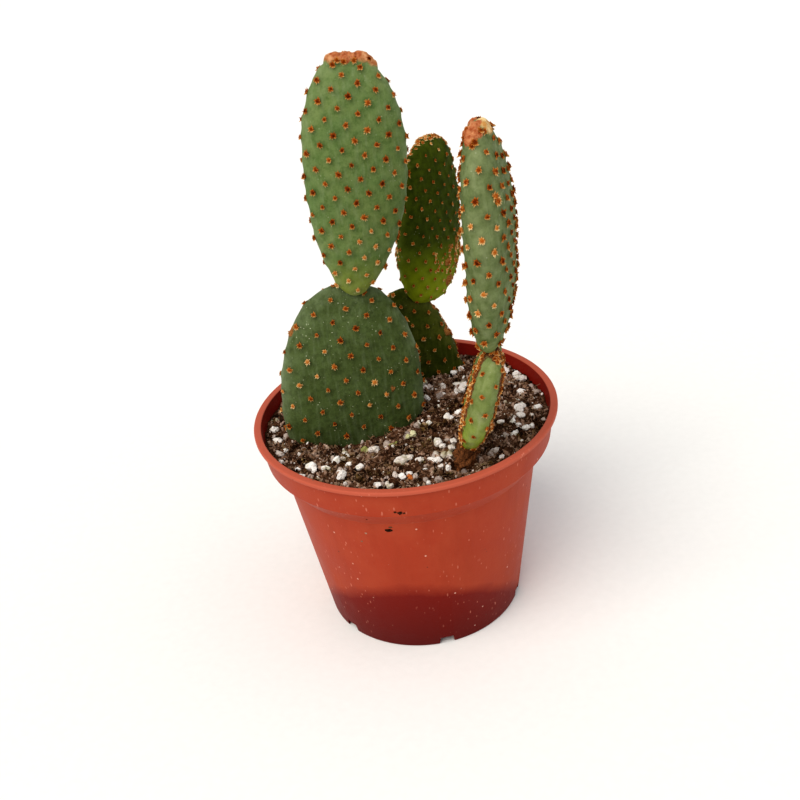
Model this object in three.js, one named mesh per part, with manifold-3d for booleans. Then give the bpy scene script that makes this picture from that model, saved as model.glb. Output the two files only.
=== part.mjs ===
// Potted paddle cactus: three stems of two flat pads each, standing in potting mix in a round
// plastic nursery pot. Every pad carries spirals of short bristle tufts and ends in a cut saddle
// where it grew on the pad below.
// Millimetres, +Z up. The origin is the centre of the pot's foot, on the surface it stands on, and
// -Y is the side that the plant is looked at from.
import * as THREE from "three";
import { mergeVertices } from "three/addons/utils/BufferGeometryUtils.js";
import Module from "manifold-3d";

const wasm = await Module();
wasm.setup();

// ---------------------------------------------------------------- driving dimensions
const RIM_RADIUS = 50; // a nursery pot 100 mm across its lip
const POT_HEIGHT = 74;
const FOOT_RADIUS = 34;
const WALL = 1.2;
const ROUND_STEPS = 40;
const GAP = 0.3; // between pieces that touch on the real plant

const LIP_HEIGHT = 1.4;
const COLLAR_TOP_RADIUS = 48.8;
const COLLAR_FOOT = { radius: 47.4, z: 63.6 };
const BODY_TOP = { radius: 42.3, z: 57.2 };
const FOOT_RING_INNER = 27;
const FLOOR_RISE = 2.6; // the middle of the floor stands this far off the ground
const FLOOR_RISE_RADIUS = 23.5;

const DRAIN_COUNT = 6;
const DRAIN_RADIUS = 3.2;
const DRAIN_CIRCLE = 32; // the holes break through the corner of floor and wall
const DRAIN_HEIGHT = 2.9;
const FIRST_DRAIN_DEGREES = -82;

const SOIL_LEVEL = POT_HEIGHT - 4.6;
const SOIL_RINGS = 7;
const SOIL_SEED = 11;
const GRAIN_COUNT = 56; // white perlite grains standing out of the mix
const GRAIN_RADIUS = { least: 0.8, most: 1.9 };

const TUFT = { radius: 1.25, height: 1.9, sunk: 0.55, sides: 3 };
const GOLDEN_ANGLE = Math.PI * (3 - Math.sqrt(5));

// Each pad: base is where its spine starts; yaw turns its broad face away from -Y, lean tips it
// back and tilt tips it to its own right, in degrees. widest is how far up it is widest, and a
// lower taper makes an end blunter. bow bends its spine to the front and sway to the right. areoles
// counts its tufts. buds are swollen young growths near its tip: around is in degrees from its right
// edge through its back.
const PADS = [
  {
    name: "left_lower_pad",
    base: [-19, -1.9, 47.5],
    yaw: 6,
    lean: 4,
    tilt: 5,
    length: 70.8,
    halfWidth: 23.2,
    halfThickness: 7,
    widest: 0.43,
    footTaper: 0.5,
    tipTaper: 0.42,
    bow: 1,
    sway: 0,
    areoles: 165,
  },
  {
    name: "left_upper_pad",
    base: [-11, 0.2, 115],
    yaw: 6,
    lean: 0,
    tilt: 5.3,
    length: 71.2,
    halfWidth: 15.1,
    halfThickness: 5.2,
    widest: 0.6,
    footTaper: 0.6,
    tipTaper: 0.42,
    bow: 1.5,
    sway: 1.4,
    areoles: 170,
    grownOn: "left_lower_pad",
    buds: [
      { around: 180, along: 0.99, radius: 2.4 },
      { around: 0, along: 0.997, radius: 2 },
      { around: 0, along: 0.975, radius: 2.6 },
    ],
  },
  {
    name: "middle_lower_pad",
    base: [12.6, 31.5, 52],
    yaw: 12,
    lean: -2,
    tilt: -12,
    length: 52.6,
    halfWidth: 13.6,
    halfThickness: 5.6,
    widest: 0.25,
    footTaper: 0.5,
    tipTaper: 0.41,
    bow: 0,
    sway: 0,
    areoles: 95,
  },
  {
    name: "middle_upper_pad",
    base: [12.7, 30, 96.9],
    yaw: 48,
    lean: 0,
    tilt: 9.5,
    length: 55.8,
    halfWidth: 15.1,
    halfThickness: 5.3,
    widest: 0.38,
    footTaper: 0.36,
    tipTaper: 0.38,
    bow: 0,
    sway: 0,
    areoles: 140,
    grownOn: "middle_lower_pad",
  },
  {
    name: "right_lower_pad",
    base: [17.5, -30.1, 74],
    yaw: 82,
    lean: -17,
    tilt: 1,
    length: 35,
    halfWidth: 11.5,
    halfThickness: 4.2,
    widest: 0.55,
    footTaper: 0.6,
    tipTaper: 0.4,
    bow: 0,
    sway: 0,
    areoles: 85,
    stalk: { radius: 3, length: 13, root: 4 },
  },
  {
    name: "right_upper_pad",
    base: [26.8, -28, 105.9],
    yaw: 74,
    lean: -1,
    tilt: -4,
    length: 66.2,
    halfWidth: 16,
    halfThickness: 6.4,
    widest: 0.52,
    footTaper: 0.42,
    tipTaper: 0.45,
    bow: 1.65,
    sway: 0,
    areoles: 165,
    grownOn: "right_lower_pad",
    buds: [
      { around: 190, along: 0.94, radius: 2.4 },
      { around: 258, along: 0.97, radius: 2.5 },
    ],
  },
];

const RINGS_ALONG_PAD = 12;
const STEPS_ROUND_PAD = 16;
const PAD_SQUARENESS = 2.3; // exponent of the pad's cross-section; 2 is an ellipse

// ---------------------------------------------------------------- materials
const matte = (color, roughness) => new THREE.MeshStandardMaterial({ color, roughness, metalness: 0 });
const TERRACOTTA_PLASTIC = matte("#b9502f", 0.5);
const POTTING_MIX = matte("#3d2d24", 0.95);
const CACTUS_SKIN = matte("#4f6f3a", 0.6);

// ---------------------------------------------------------------- helpers
// A repeatable stream of numbers from 0 to 1.
function seededRandom(seed) {
  let state = seed >>> 0;
  return () => {
    state = (state + 0x6d2b79f5) >>> 0;
    let mixed = Math.imul(state ^ (state >>> 15), state | 1);
    mixed ^= mixed + Math.imul(mixed ^ (mixed >>> 7), mixed | 61);
    return ((mixed ^ (mixed >>> 14)) >>> 0) / 4294967296;
  };
}

// A closed geometry as a solid that can be joined and cut.
function solidOf(geometry) {
  const bare = geometry.clone();
  bare.deleteAttribute("normal");
  bare.deleteAttribute("uv");
  const merged = mergeVertices(bare, 1e-4);
  return new wasm.Manifold(
    new wasm.Mesh({
      numProp: 3,
      vertProperties: merged.getAttribute("position").array,
      triVerts: new Uint32Array(merged.index.array),
    }),
  );
}

// The largest body of a solid as a named mesh; scraps that a cut leaves loose are dropped.
function meshOf(name, solid, material) {
  const bodies = solid.decompose().sort((a, b) => b.volume() - a.volume());
  const { vertProperties, triVerts, numProp, numVert } = bodies[0].getMesh();
  const positions = new Float32Array(numVert * 3);
  for (let i = 0; i < numVert; i++) {
    positions.set(vertProperties.subarray(i * numProp, i * numProp + 3), i * 3);
  }
  const geometry = new THREE.BufferGeometry()
    .setAttribute("position", new THREE.BufferAttribute(positions, 3))
    .setIndex(new THREE.BufferAttribute(triVerts, 1));
  geometry.computeVertexNormals();
  const mesh = new THREE.Mesh(geometry, material);
  mesh.name = name;
  return mesh;
}

// A closed skin over rings of points that run round +Z, from a point below to a point above.
function loft(bottom, rings, top) {
  const steps = rings[0].length;
  const points = [bottom, ...rings.flat(), top];
  const last = points.length - 1;
  const index = [];
  for (let i = 0; i < steps; i++) {
    const next = (i + 1) % steps;
    index.push(0, 1 + next, 1 + i);
    for (let ring = 0; ring < rings.length - 1; ring++) {
      const low = 1 + ring * steps;
      const high = low + steps;
      index.push(low + i, low + next, high + next, low + i, high + next, high + i);
    }
    index.push(last, last - steps + i, last - steps + next);
  }
  return new THREE.BufferGeometry().setFromPoints(points).setIndex(index);
}

// ---------------------------------------------------------------- pot
function makePot() {
  const lipBottom = POT_HEIGHT - LIP_HEIGHT;
  const floor = FLOOR_RISE + WALL;
  const profile = [
    [0, FLOOR_RISE],
    [FLOOR_RISE_RADIUS, FLOOR_RISE],
    [FOOT_RING_INNER, 0],
    [FOOT_RADIUS, 0],
    [BODY_TOP.radius, BODY_TOP.z],
    [COLLAR_FOOT.radius, COLLAR_FOOT.z],
    [COLLAR_TOP_RADIUS, lipBottom],
    [RIM_RADIUS, lipBottom],
    [RIM_RADIUS, POT_HEIGHT],
    [COLLAR_TOP_RADIUS - WALL, POT_HEIGHT],
    [COLLAR_FOOT.radius - WALL, COLLAR_FOOT.z],
    [BODY_TOP.radius - WALL, BODY_TOP.z],
    [FOOT_RADIUS - WALL, WALL],
    [FOOT_RING_INNER, WALL],
    [FLOOR_RISE_RADIUS, floor],
    [0, floor],
  ].map(([radius, z]) => new THREE.Vector2(radius, z));
  const shell = solidOf(new THREE.LatheGeometry(profile, ROUND_STEPS).rotateX(Math.PI / 2));

  const drains = Array.from({ length: DRAIN_COUNT }, (_, i) => {
    const angle = THREE.MathUtils.degToRad(FIRST_DRAIN_DEGREES + (i * 360) / DRAIN_COUNT);
    const hole = new THREE.CylinderGeometry(DRAIN_RADIUS, DRAIN_RADIUS, 2 * DRAIN_HEIGHT, 12)
      .rotateX(Math.PI / 2)
      .translate(DRAIN_CIRCLE * Math.cos(angle), DRAIN_CIRCLE * Math.sin(angle), 0);
    return solidOf(hole);
  });
  return shell.subtract(wasm.Manifold.union(drains));
}

// ---------------------------------------------------------------- soil
// Height of the mix: slightly heaped between the stems, with small lumps, and hollow at the foot of
// the right stem and before the left one.
function soilHeight(x, y) {
  const heap = 1.2 * Math.exp(-((x + 6) ** 2 + (y - 8) ** 2) / 500);
  const rightHollow = 2.4 * Math.exp(-((x - 18) ** 2 + (y + 31) ** 2) / 70);
  const leftHollow = 4.4 * Math.exp(-((x + 15) ** 2 / 300 + (y + 11) ** 2 / 40));
  const wide = 0.6 * Math.sin(0.43 * x + 1.3) * Math.sin(0.39 * y - 0.4);
  const narrow = 0.35 * Math.sin(0.9 * x - 0.7 * y);
  return SOIL_LEVEL + heap - rightHollow - leftHollow + wide + narrow;
}

function ringAt(radius, heightOf) {
  return Array.from({ length: ROUND_STEPS }, (_, i) => {
    const angle = (i / ROUND_STEPS) * 2 * Math.PI;
    const x = radius * Math.cos(angle);
    const y = radius * Math.sin(angle);
    return new THREE.Vector3(x, y, heightOf(x, y));
  });
}

// Inner radius of the pot's wall at a height, where the soil leans on it.
function innerRadius(z) {
  const [low, high, from, to] =
    z < BODY_TOP.z
      ? [FOOT_RADIUS, BODY_TOP.radius, 0, BODY_TOP.z]
      : z < COLLAR_FOOT.z
        ? [BODY_TOP.radius, COLLAR_FOOT.radius, BODY_TOP.z, COLLAR_FOOT.z]
        : [COLLAR_FOOT.radius, COLLAR_TOP_RADIUS, COLLAR_FOOT.z, POT_HEIGHT - LIP_HEIGHT];
  return low + ((high - low) * (z - from)) / (to - from) - WALL;
}

function makeSoilBlock() {
  const level = (z) => () => z;
  const clear = 2 * GAP; // the faceted wall cuts inside its own radius
  const foot = WALL + GAP;
  const dome = FLOOR_RISE + WALL + GAP;
  const surface = Array.from({ length: SOIL_RINGS }, (_, i) => {
    const radius = (innerRadius(SOIL_LEVEL) - clear) * (1 - i / SOIL_RINGS);
    return ringAt(radius, soilHeight);
  });
  const rings = [
    ringAt(FLOOR_RISE_RADIUS, level(dome)),
    ringAt(FOOT_RING_INNER, level(foot)),
    ringAt(innerRadius(foot) - clear, level(foot)),
    ringAt(innerRadius(BODY_TOP.z) - clear, level(BODY_TOP.z)),
    ringAt(innerRadius(COLLAR_FOOT.z) - clear, level(COLLAR_FOOT.z)),
    ...surface,
  ];
  return solidOf(loft(new THREE.Vector3(0, 0, dome), rings, new THREE.Vector3(0, 0, soilHeight(0, 0))));
}

// Perlite grains sunk to about half their height, strewn evenly by a seeded draw.
function makeGrains() {
  const random = seededRandom(SOIL_SEED);
  const reach = innerRadius(SOIL_LEVEL) - GRAIN_RADIUS.most - 1;
  return Array.from({ length: GRAIN_COUNT }, (_, i) => {
    const radius = reach * Math.sqrt((i + 0.5) / GRAIN_COUNT);
    const angle = i * GOLDEN_ANGLE + 0.6 * random();
    const x = radius * Math.cos(angle);
    const y = radius * Math.sin(angle);
    const size = GRAIN_RADIUS.least + (GRAIN_RADIUS.most - GRAIN_RADIUS.least) * random() ** 2;
    const grain = new THREE.OctahedronGeometry(size)
      .scale(1 + 0.4 * random(), 1, 0.8 + 0.3 * random())
      .rotateX(random())
      .rotateZ(2 * Math.PI * random())
      .translate(x, y, soilHeight(x, y) + 0.25 * size);
    return solidOf(grain);
  });
}

// ---------------------------------------------------------------- pads
function placementOf(pad) {
  const { degToRad } = THREE.MathUtils;
  const turn = new THREE.Euler(degToRad(-pad.lean), degToRad(pad.tilt), degToRad(pad.yaw), "ZXY");
  return new THREE.Matrix4().makeRotationFromEuler(turn).setPosition(...pad.base);
}

// A point of the pad's skin in the pad's own frame: along is 0 at its foot and 1 at its tip, and
// angle runs round it from its right edge through its back. grow swells it evenly.
function skinPoint(pad, along, angle, grow = 0) {
  const fromWidest = along < pad.widest ? 1 - along / pad.widest : (along - pad.widest) / (1 - pad.widest);
  const taper = along < pad.widest ? pad.footTaper : pad.tipTaper;
  const width = pad.halfWidth * Math.max(0, 1 - fromWidest ** 2) ** taper + grow;
  const thickness = pad.halfThickness * Math.max(0, 1 - fromWidest ** 2.6) ** 0.5 + grow;
  const rounded = (value) => Math.sign(value) * Math.abs(value) ** (2 / PAD_SQUARENESS);
  const bend = Math.sin(Math.PI * along);
  return new THREE.Vector3(
    width * rounded(Math.cos(angle)) + pad.sway * bend,
    thickness * rounded(Math.sin(angle)) - pad.bow * bend,
    pad.length * along + grow * (2 * along - 1),
  );
}

// Rings crowd towards the two ends, where the outline turns fastest. A pad that stands clear of the
// soil has a bare corky stalk under its foot.
function padBody(pad, grow = 0) {
  const alongOf = (ring) => 0.5 - 0.5 * Math.cos((Math.PI * ring) / (RINGS_ALONG_PAD + 1));
  const rings = Array.from({ length: RINGS_ALONG_PAD }, (_, ring) =>
    Array.from({ length: STEPS_ROUND_PAD }, (_, step) =>
      skinPoint(pad, alongOf(ring + 1), (step / STEPS_ROUND_PAD) * 2 * Math.PI, grow),
    ),
  );
  const foot = new THREE.Vector3(0, 0, -grow);
  const tip = new THREE.Vector3(0, 0, pad.length + grow);
  const blade = solidOf(loft(foot, rings, tip).applyMatrix4(placementOf(pad)));
  if (!pad.stalk) {
    return blade;
  }
  const { radius, length, root } = pad.stalk;
  const stalk = new THREE.CylinderGeometry(radius + grow, radius + 0.5 + grow, length + root + grow, 9)
    .rotateX(Math.PI / 2)
    .translate(0, 0, (root - length - grow) / 2)
    .applyMatrix4(placementOf(pad));
  return blade.add(solidOf(stalk));
}

// Swollen young growths, sunk by half.
function makeBuds(pad) {
  return (pad.buds ?? []).map(({ around, along, radius }) => {
    const point = skinPoint(pad, along, THREE.MathUtils.degToRad(around));
    const bud = new THREE.IcosahedronGeometry(radius, 1)
      .scale(1.15, 0.9, 0.9)
      .translate(point.x, point.y, point.z)
      .applyMatrix4(placementOf(pad));
    return solidOf(bud);
  });
}

// Where the tufts stand: a golden-angle spiral up the pad, each turn measured along the skin, so
// that every tuft has the same area of skin round it. Gives a point and the way out of the skin.
function areolesOf(pad) {
  const ALONG = 64;
  const ROUND = 72;
  const girths = [];
  const areas = [0];
  for (let i = 0; i <= ALONG; i++) {
    const lengths = [0];
    for (let j = 1; j <= ROUND; j++) {
      const from = skinPoint(pad, i / ALONG, ((j - 1) / ROUND) * 2 * Math.PI);
      const to = skinPoint(pad, i / ALONG, (j / ROUND) * 2 * Math.PI);
      lengths.push(lengths[j - 1] + from.distanceTo(to));
    }
    girths.push(lengths);
    if (i > 0) {
      const edge = skinPoint(pad, i / ALONG, 0).distanceTo(skinPoint(pad, (i - 1) / ALONG, 0));
      const flat = pad.length / ALONG;
      areas.push(areas[i - 1] + ((lengths[ROUND] + girths[i - 1][ROUND]) / 2) * Math.sqrt(edge * flat));
    }
  }
  // Where a rising list reaches a value, as a fractional place in it.
  const placeIn = (list, value) => {
    const after = Math.max(1, list.findIndex((entry) => entry >= value));
    return after - 1 + (value - list[after - 1]) / (list[after] - list[after - 1]);
  };
  return Array.from({ length: pad.areoles }, (_, n) => {
    const along = placeIn(areas, (areas[ALONG] * (n + 0.5)) / pad.areoles) / ALONG;
    const girth = girths[THREE.MathUtils.clamp(Math.round(along * ALONG), 1, ALONG - 1)];
    const turn = ((n * GOLDEN_ANGLE) / (2 * Math.PI)) % 1;
    const angle = (placeIn(girth, girth[ROUND] * turn) / ROUND) * 2 * Math.PI;
    const point = skinPoint(pad, along, angle);
    const above = skinPoint(pad, Math.min(along + 0.01, 0.999), angle);
    const up = above.sub(skinPoint(pad, along - 0.01, angle));
    const round = skinPoint(pad, along, angle + 0.05).sub(skinPoint(pad, along, angle - 0.05));
    return { point, outward: round.cross(up).normalize() };
  });
}

function makeTufts(pad) {
  const placement = placementOf(pad);
  const coneAxis = new THREE.Vector3(0, 1, 0);
  return areolesOf(pad).map(({ point, outward }) => {
    const turn = new THREE.Quaternion().setFromUnitVectors(coneAxis, outward);
    const middle = point.clone().addScaledVector(outward, TUFT.height / 2 - TUFT.sunk);
    const cone = new THREE.ConeGeometry(TUFT.radius, TUFT.height, TUFT.sides)
      .applyQuaternion(turn)
      .translate(middle.x, middle.y, middle.z)
      .applyMatrix4(placement);
    return solidOf(cone);
  });
}

// ---------------------------------------------------------------- assembly
const plant = new THREE.Group();
plant.add(meshOf("pot", makePot(), TERRACOTTA_PLASTIC));

const soilBlock = makeSoilBlock();
let soil = soilBlock.add(wasm.Manifold.union(makeGrains()));
for (const pad of PADS) {
  soil = soil.subtract(padBody(pad, GAP));
}
plant.add(meshOf("soil", soil, POTTING_MIX));

// Tufts and buds that would reach into the soil or a neighbouring pad are left off.
const soilGuard = soil.add(soilBlock.translate([0, 0, GAP]));
for (const pad of PADS) {
  const neighbours = PADS.filter((other) => other.grownOn === pad.name || pad.grownOn === other.name);
  const keepOff = wasm.Manifold.union([soilGuard, ...neighbours.map((other) => padBody(other, 2 * GAP))]);
  const growths = [...makeTufts(pad), ...makeBuds(pad)];
  const clear = growths.filter((growth) => growth.intersect(keepOff).isEmpty());
  let body = padBody(pad);
  if (pad.grownOn) {
    const below = PADS.find((other) => other.name === pad.grownOn);
    body = body.subtract(padBody(below, GAP));
  }
  plant.add(meshOf(pad.name, wasm.Manifold.union([body, ...clear]), CACTUS_SKIN));
}

export default plant;
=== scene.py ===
"""Looks of a potted paddle cactus: its pot, its mix, six flat pads and their bristle tufts.

The pads follow the same rule as the solids that carry them, so each skin lies where its solid is.
Lengths are written in millimetres and turned into metres by MM. +Z is up, and -Y faces the viewer.
"""

import logging
import math
from dataclasses import dataclass, field
from enum import Enum

import bpy
import numpy as np
from bpy.types import ID, Collection, Material, Mesh, Modifier, Node, NodeSocket, NodeTree, Object
from mathutils import Matrix, Vector, noise
from mathutils.bvhtree import BVHTree


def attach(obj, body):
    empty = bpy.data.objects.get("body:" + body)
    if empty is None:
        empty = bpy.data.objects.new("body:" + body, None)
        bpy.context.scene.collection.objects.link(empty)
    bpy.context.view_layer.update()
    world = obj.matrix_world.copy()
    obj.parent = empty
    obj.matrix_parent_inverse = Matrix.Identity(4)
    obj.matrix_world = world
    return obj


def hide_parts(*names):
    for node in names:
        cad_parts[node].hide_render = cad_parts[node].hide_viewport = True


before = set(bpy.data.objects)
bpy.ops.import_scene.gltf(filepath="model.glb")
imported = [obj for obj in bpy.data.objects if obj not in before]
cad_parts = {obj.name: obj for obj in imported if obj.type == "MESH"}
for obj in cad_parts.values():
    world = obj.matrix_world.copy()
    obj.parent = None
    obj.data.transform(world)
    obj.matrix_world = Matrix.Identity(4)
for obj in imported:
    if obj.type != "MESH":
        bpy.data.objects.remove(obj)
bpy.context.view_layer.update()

LOG = logging.getLogger("cactus")
MM = 0.001
GOLDEN_ANGLE = math.pi * (3 - math.sqrt(5))


# ------------------------------------------------------------------ colour and nodes
def linear(hex_colour: str) -> tuple[float, float, float, float]:
    """Turns an sRGB hex colour into linear light.

    Args:
        hex_colour: the colour as #rrggbb.
    Returns:
        Red, green, blue and an alpha of 1.
    """
    parts = [int(hex_colour[i : i + 2], 16) / 255 for i in (1, 3, 5)]
    bent = [c / 12.92 if c <= 0.04045 else ((c + 0.055) / 1.055) ** 2.4 for c in parts]
    return (bent[0], bent[1], bent[2], 1.0)


def per_mm(size: float) -> float:
    """Scale of a pattern on metre coordinates whose features are size millimetres across."""
    return 1 / (size * MM)


def add_node(
    tree: NodeTree,
    kind: str,
    settings: dict[str, object] | None = None,
    links: dict[str, object] | None = None,
) -> Node:
    """Adds one node to a tree.

    Args:
        tree: the material's or modifier's tree.
        kind: the node's type name; a short one, such as Mix, is a shader node's.
        settings: values by property or input name; "stops" holds a ramp's places and hex colours.
        links: for an input's name, the node or the output socket that feeds it.
    Returns:
        The new node.
    """
    node = tree.nodes.new(kind if "Node" in kind else f"ShaderNode{kind}")

    def input_named(key: str) -> NodeSocket:
        """The node's input of that name or identifier that is in use."""
        return next(s for s in node.inputs if s.enabled and key in (s.identifier, s.name))

    for key, value in (settings or {}).items():
        if key == "stops":
            ramp = node.color_ramp.elements
            for end, (place, colour) in ((ramp[0], value[0]), (ramp[-1], value[-1])):
                end.position = place
                end.color = linear(colour)
            for place, colour in value[1:-1]:
                ramp.new(place).color = linear(colour)
        elif key in node.bl_rna.properties:
            setattr(node, key, value)
        else:
            input_named(key).default_value = value
    for key, source in (links or {}).items():
        if isinstance(source, Node):
            source = next(s for s in source.outputs if s.enabled)
        tree.links.new(source, input_named(key))
    return node


def lay_over(tree: NodeTree, below: object, layers: list[tuple]) -> Node:
    """Lays colours over each other.

    Args:
        tree: the material's tree.
        below: the lowest colour, as hex or as the node that gives it.
        layers: for each, the node of the share it covers, its colour and, if not MIX, how it blends.
    Returns:
        The node of the finished colour.
    """
    for share, above, *blend in layers:
        settings = {"data_type": "RGBA", "blend_type": (blend or ["MIX"])[0]}
        links = {"Factor": share}
        for side, colour in (("A", below), ("B", above)):
            if isinstance(colour, str):
                settings[side] = linear(colour)
            else:
                links[side] = colour
        below = add_node(tree, "Mix", settings, links)
    return below


def start_material(name: str, *attributes: str) -> tuple:
    """Starts a material.

    Args:
        name: its name.
        attributes: the mesh attributes that it reads.
    Returns:
        The material, its tree, the place in metres that its patterns follow, and each attribute.
    """
    material = bpy.data.materials.new(name)
    material.use_nodes = True
    tree = material.node_tree
    tree.nodes.clear()
    place = add_node(tree, "TexCoord").outputs["Object"]
    sockets = [add_node(tree, "Attribute", {"attribute_name": key}).outputs["Fac"] for key in attributes]
    return material, tree, place, *sockets


def finish_material(
    tree: NodeTree, constants: dict[str, object], links: dict[str, object], height: object, depth: float
) -> None:
    """Closes a material with its shader, its bump and its output.

    Args:
        tree: the material's tree.
        constants: values for the shader's own sockets.
        links: what feeds the shader's other sockets.
        height: node or socket that gives the surface its relief.
        depth: how deep that relief is, in millimetres.
    """
    bump = add_node(tree, "Bump", {"Strength": 1.0, "Distance": depth * MM}, {"Height": height})
    shader = add_node(tree, "BsdfPrincipled", constants, {**links, "Normal": bump})
    add_node(tree, "OutputMaterial", {}, {"Surface": shader})


def weighted_sum(tree: NodeTree, value: object, parts: list[tuple]) -> Node:
    """Adds shares of other values to a value.

    Args:
        tree: the material's tree.
        value: the node or socket that is added to.
        parts: for each share, the node or socket it comes from and its weight.
    Returns:
        The node of the sum.
    """
    for source, weight in parts:
        value = add_node(
            tree,
            "Math",
            {"operation": "MULTIPLY_ADD", "Value_001": weight},
            {"Value": source, "Value_002": value},
        )
    return value


@dataclass(frozen=True)
class Strokes:
    """Small marks scattered over a surface, each of the same kind."""

    spacing: float  # millimetres from mark to mark
    stretch: float  # width of a mark over its length
    turn: tuple[float, float, float]  # how the marks lean, in radians
    width: float  # reach of a mark's soft edge, as a share of the spacing
    strength: float = 1.0

    def lay(self, tree: NodeTree, place: object, where: object) -> Node:
        """Adds the marks to a material.

        Args:
            tree: the material's tree.
            place: the place in metres.
            where: the node or socket that says how many of them show.
        Returns:
            The node of the share that the marks cover.
        """
        turned = add_node(
            tree, "Mapping", {"Rotation": self.turn, "Scale": (1.0, 1.0, self.stretch)}, {"Vector": place}
        )
        cells = add_node(tree, "TexVoronoi", {"Scale": per_mm(self.spacing)}, {"Vector": turned})
        mark = add_node(
            tree,
            "MapRange",
            {"From Min": self.width, "From Max": self.width / 2, "To Max": self.strength},
            {"Value": cells.outputs["Distance"]},
        )
        return add_node(tree, "Math", {"operation": "MULTIPLY"}, {"Value": mark, "Value_001": where})


# ------------------------------------------------------------------ finishes
@dataclass(frozen=True)
class CactusSkin:
    """Waxy skin of a flat cactus pad.

    A living skin under a matt wax: green with softly mottled patches and faint streaks of bloom, a
    painted sheen near its rim, a foot of its own colour, a darker ring of shade under each tuft, dust
    specks, hairline scratches and corky scars.
    """

    name: str
    body: str
    patch: str
    deep: str
    # The rim colour is a painted sheen near the pad's edges, and also the colour of its bloom streaks.
    rim: str
    foot: str
    foot_reach: float
    rim_sheen_strength: float = 0.5
    dusty: float = 0.5
    streaked: float = 0.15
    gloss: float = 0.2
    cork: str = "#a8743e"
    cork_dark: str = "#5c3215"
    bud: str = "#cf9470"
    bud_dark: str = "#a85f30"
    felt: str = "#cf8f62"
    felt_dark: str = "#9a4a20"
    felt_deep: str = "#8a3c16"
    tuft_shade: str = "#6a6040"
    dust: str = "#c9cbb0"
    # Round specks of 0.3 mm, and hairline scratches of two leanings.
    marks: tuple[Strokes, ...] = (
        Strokes(1.3, 1.0, (0.0, 0.0, 0.0), 0.135),
        Strokes(2.4, 0.2, (0.0, 0.75, 0.3), 0.065),
        Strokes(2.9, 0.18, (0.0, -0.95, -0.38), 0.06),
    )
    relief: float = 0.22

    def build(self) -> Material:
        """Makes the material.

        Returns:
            The skin, which reads the attributes rise, rim, halo, scar, bud and wool.
        """
        material, tree, place, rise, rim, halo, scar, bud, wool = start_material(
            self.name, "rise", "rim", "halo", "scar", "bud", "wool"
        )
        # Patches of growth 9 mm across, clusters of dust 6 mm across, mottling of 1.7 mm, the 0.4 mm
        # grain of the wax, and streaks 1.2 mm wide that run up the pad.
        drawn_up = add_node(tree, "Mapping", {"Scale": (1.0, 1.0, 0.13)}, {"Vector": place})
        patches, clusters, mottle, grain, streaks = (
            add_node(
                tree,
                "TexNoise",
                {"Scale": per_mm(size), "Detail": 3.0, "Roughness": rough},
                {"Vector": where},
            )
            for size, rough, where in (
                (9, 0.6, place),
                (6, 0.55, place),
                (1.7, 0.65, place),
                (0.4, 0.7, place),
                (1.2, 0.5, drawn_up),
            )
        )
        # The foot takes a colour of its own, yellower young skin on some pads and darker on others, and
        # its edge wanders with the patches. Buds are young flesh, woolly mounds are matted bristles, and
        # cork grows over old wounds in crumbs.
        ragged_rise, ragged_bud, ragged_wool, ragged_scar = (
            weighted_sum(tree, value, [(ragged, weight)])
            for value, ragged, weight in (
                (rise, patches, 0.12),
                (bud, mottle, 0.5),
                (wool, mottle, 0.5),
                (scar, mottle, 0.9),
            )
        )
        share = {
            name: add_node(
                tree, "MapRange", {"From Min": low, "From Max": high, "To Max": most}, {"Value": source}
            )
            for name, source, low, high, most in (
                ("patch", patches, 0.38, 0.66, 0.95),
                ("mottle", mottle, 0.45, 0.75, 0.75),
                ("grain", grain, 0.48, 0.72, 0.4),
                ("streak", streaks, 0.5, 0.7, self.streaked),
                ("cluster", clusters, 0.47, 0.6, self.dusty),
                ("foot", ragged_rise, self.foot_reach + 0.06, 0.06, 0.9),
                ("bud", ragged_bud, 0.5, 0.8, 1.0),
                ("wool", ragged_wool, 0.5, 0.75, 1.0),
                ("cork", ragged_scar, 0.86, 1.02, 1.0),
                ("flesh tone", mottle, 0.4, 0.62, 1.0),
                ("felt tone", mottle, 0.36, 0.66, 1.0),
                ("cork tone", grain, 0.35, 0.6, 1.0),
            )
        }
        # Painted sheen lies along the rim in the paler patches, and each tuft shades the skin round it.
        halo_share, rim_sheen_amount = (
            add_node(tree, "Math", {"operation": "MULTIPLY", "Value_001": weight}, {"Value": source})
            for source, weight in ((halo, 0.3), (rim, self.rim_sheen_strength))
        )
        rim_sheen_share = add_node(
            tree, "Math", {"operation": "MULTIPLY"}, {"Value": rim_sheen_amount, "Value_001": share["patch"]}
        )
        flesh = lay_over(tree, self.bud_dark, [(share["flesh tone"], self.bud)])
        felt_layers = [(share["felt tone"], self.felt), (share["grain"], self.felt_deep)]
        felt = lay_over(tree, self.felt_dark, felt_layers)
        cork = lay_over(tree, self.cork_dark, [(share["cork tone"], self.cork)])
        layers = [
            (share["patch"], self.patch),
            (share["mottle"], self.deep),
            (share["grain"], self.deep),
            (share["foot"], self.foot),
            # Painted sheen near the edges.
            (rim_sheen_share, self.rim),
            (share["streak"], self.rim),
            (halo_share, self.tuft_shade, "MULTIPLY"),
            *((marks.lay(tree, place, share["cluster"]), self.dust) for marks in self.marks),
            (share["bud"], flesh),
            (share["wool"], felt),
            (share["cork"], cork),
        ]
        colour = lay_over(tree, self.body, layers)
        waxy = add_node(tree, "MapRange", {"To Min": 0.5, "To Max": 0.72}, {"Value": mottle})
        roughness = add_node(
            tree, "Mix", {"data_type": "FLOAT", "B": 0.92}, {"Factor": share["cork"], "A": waxy}
        )
        height = weighted_sum(tree, mottle, [(grain, 0.35), (share["cork"], 1.6), (share["bud"], 0.5)])
        constants = {"IOR": 1.45, "Specular IOR Level": self.gloss}
        finish_material(tree, constants, {"Base Color": colour, "Roughness": roughness}, height, self.relief)
        return material


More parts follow.
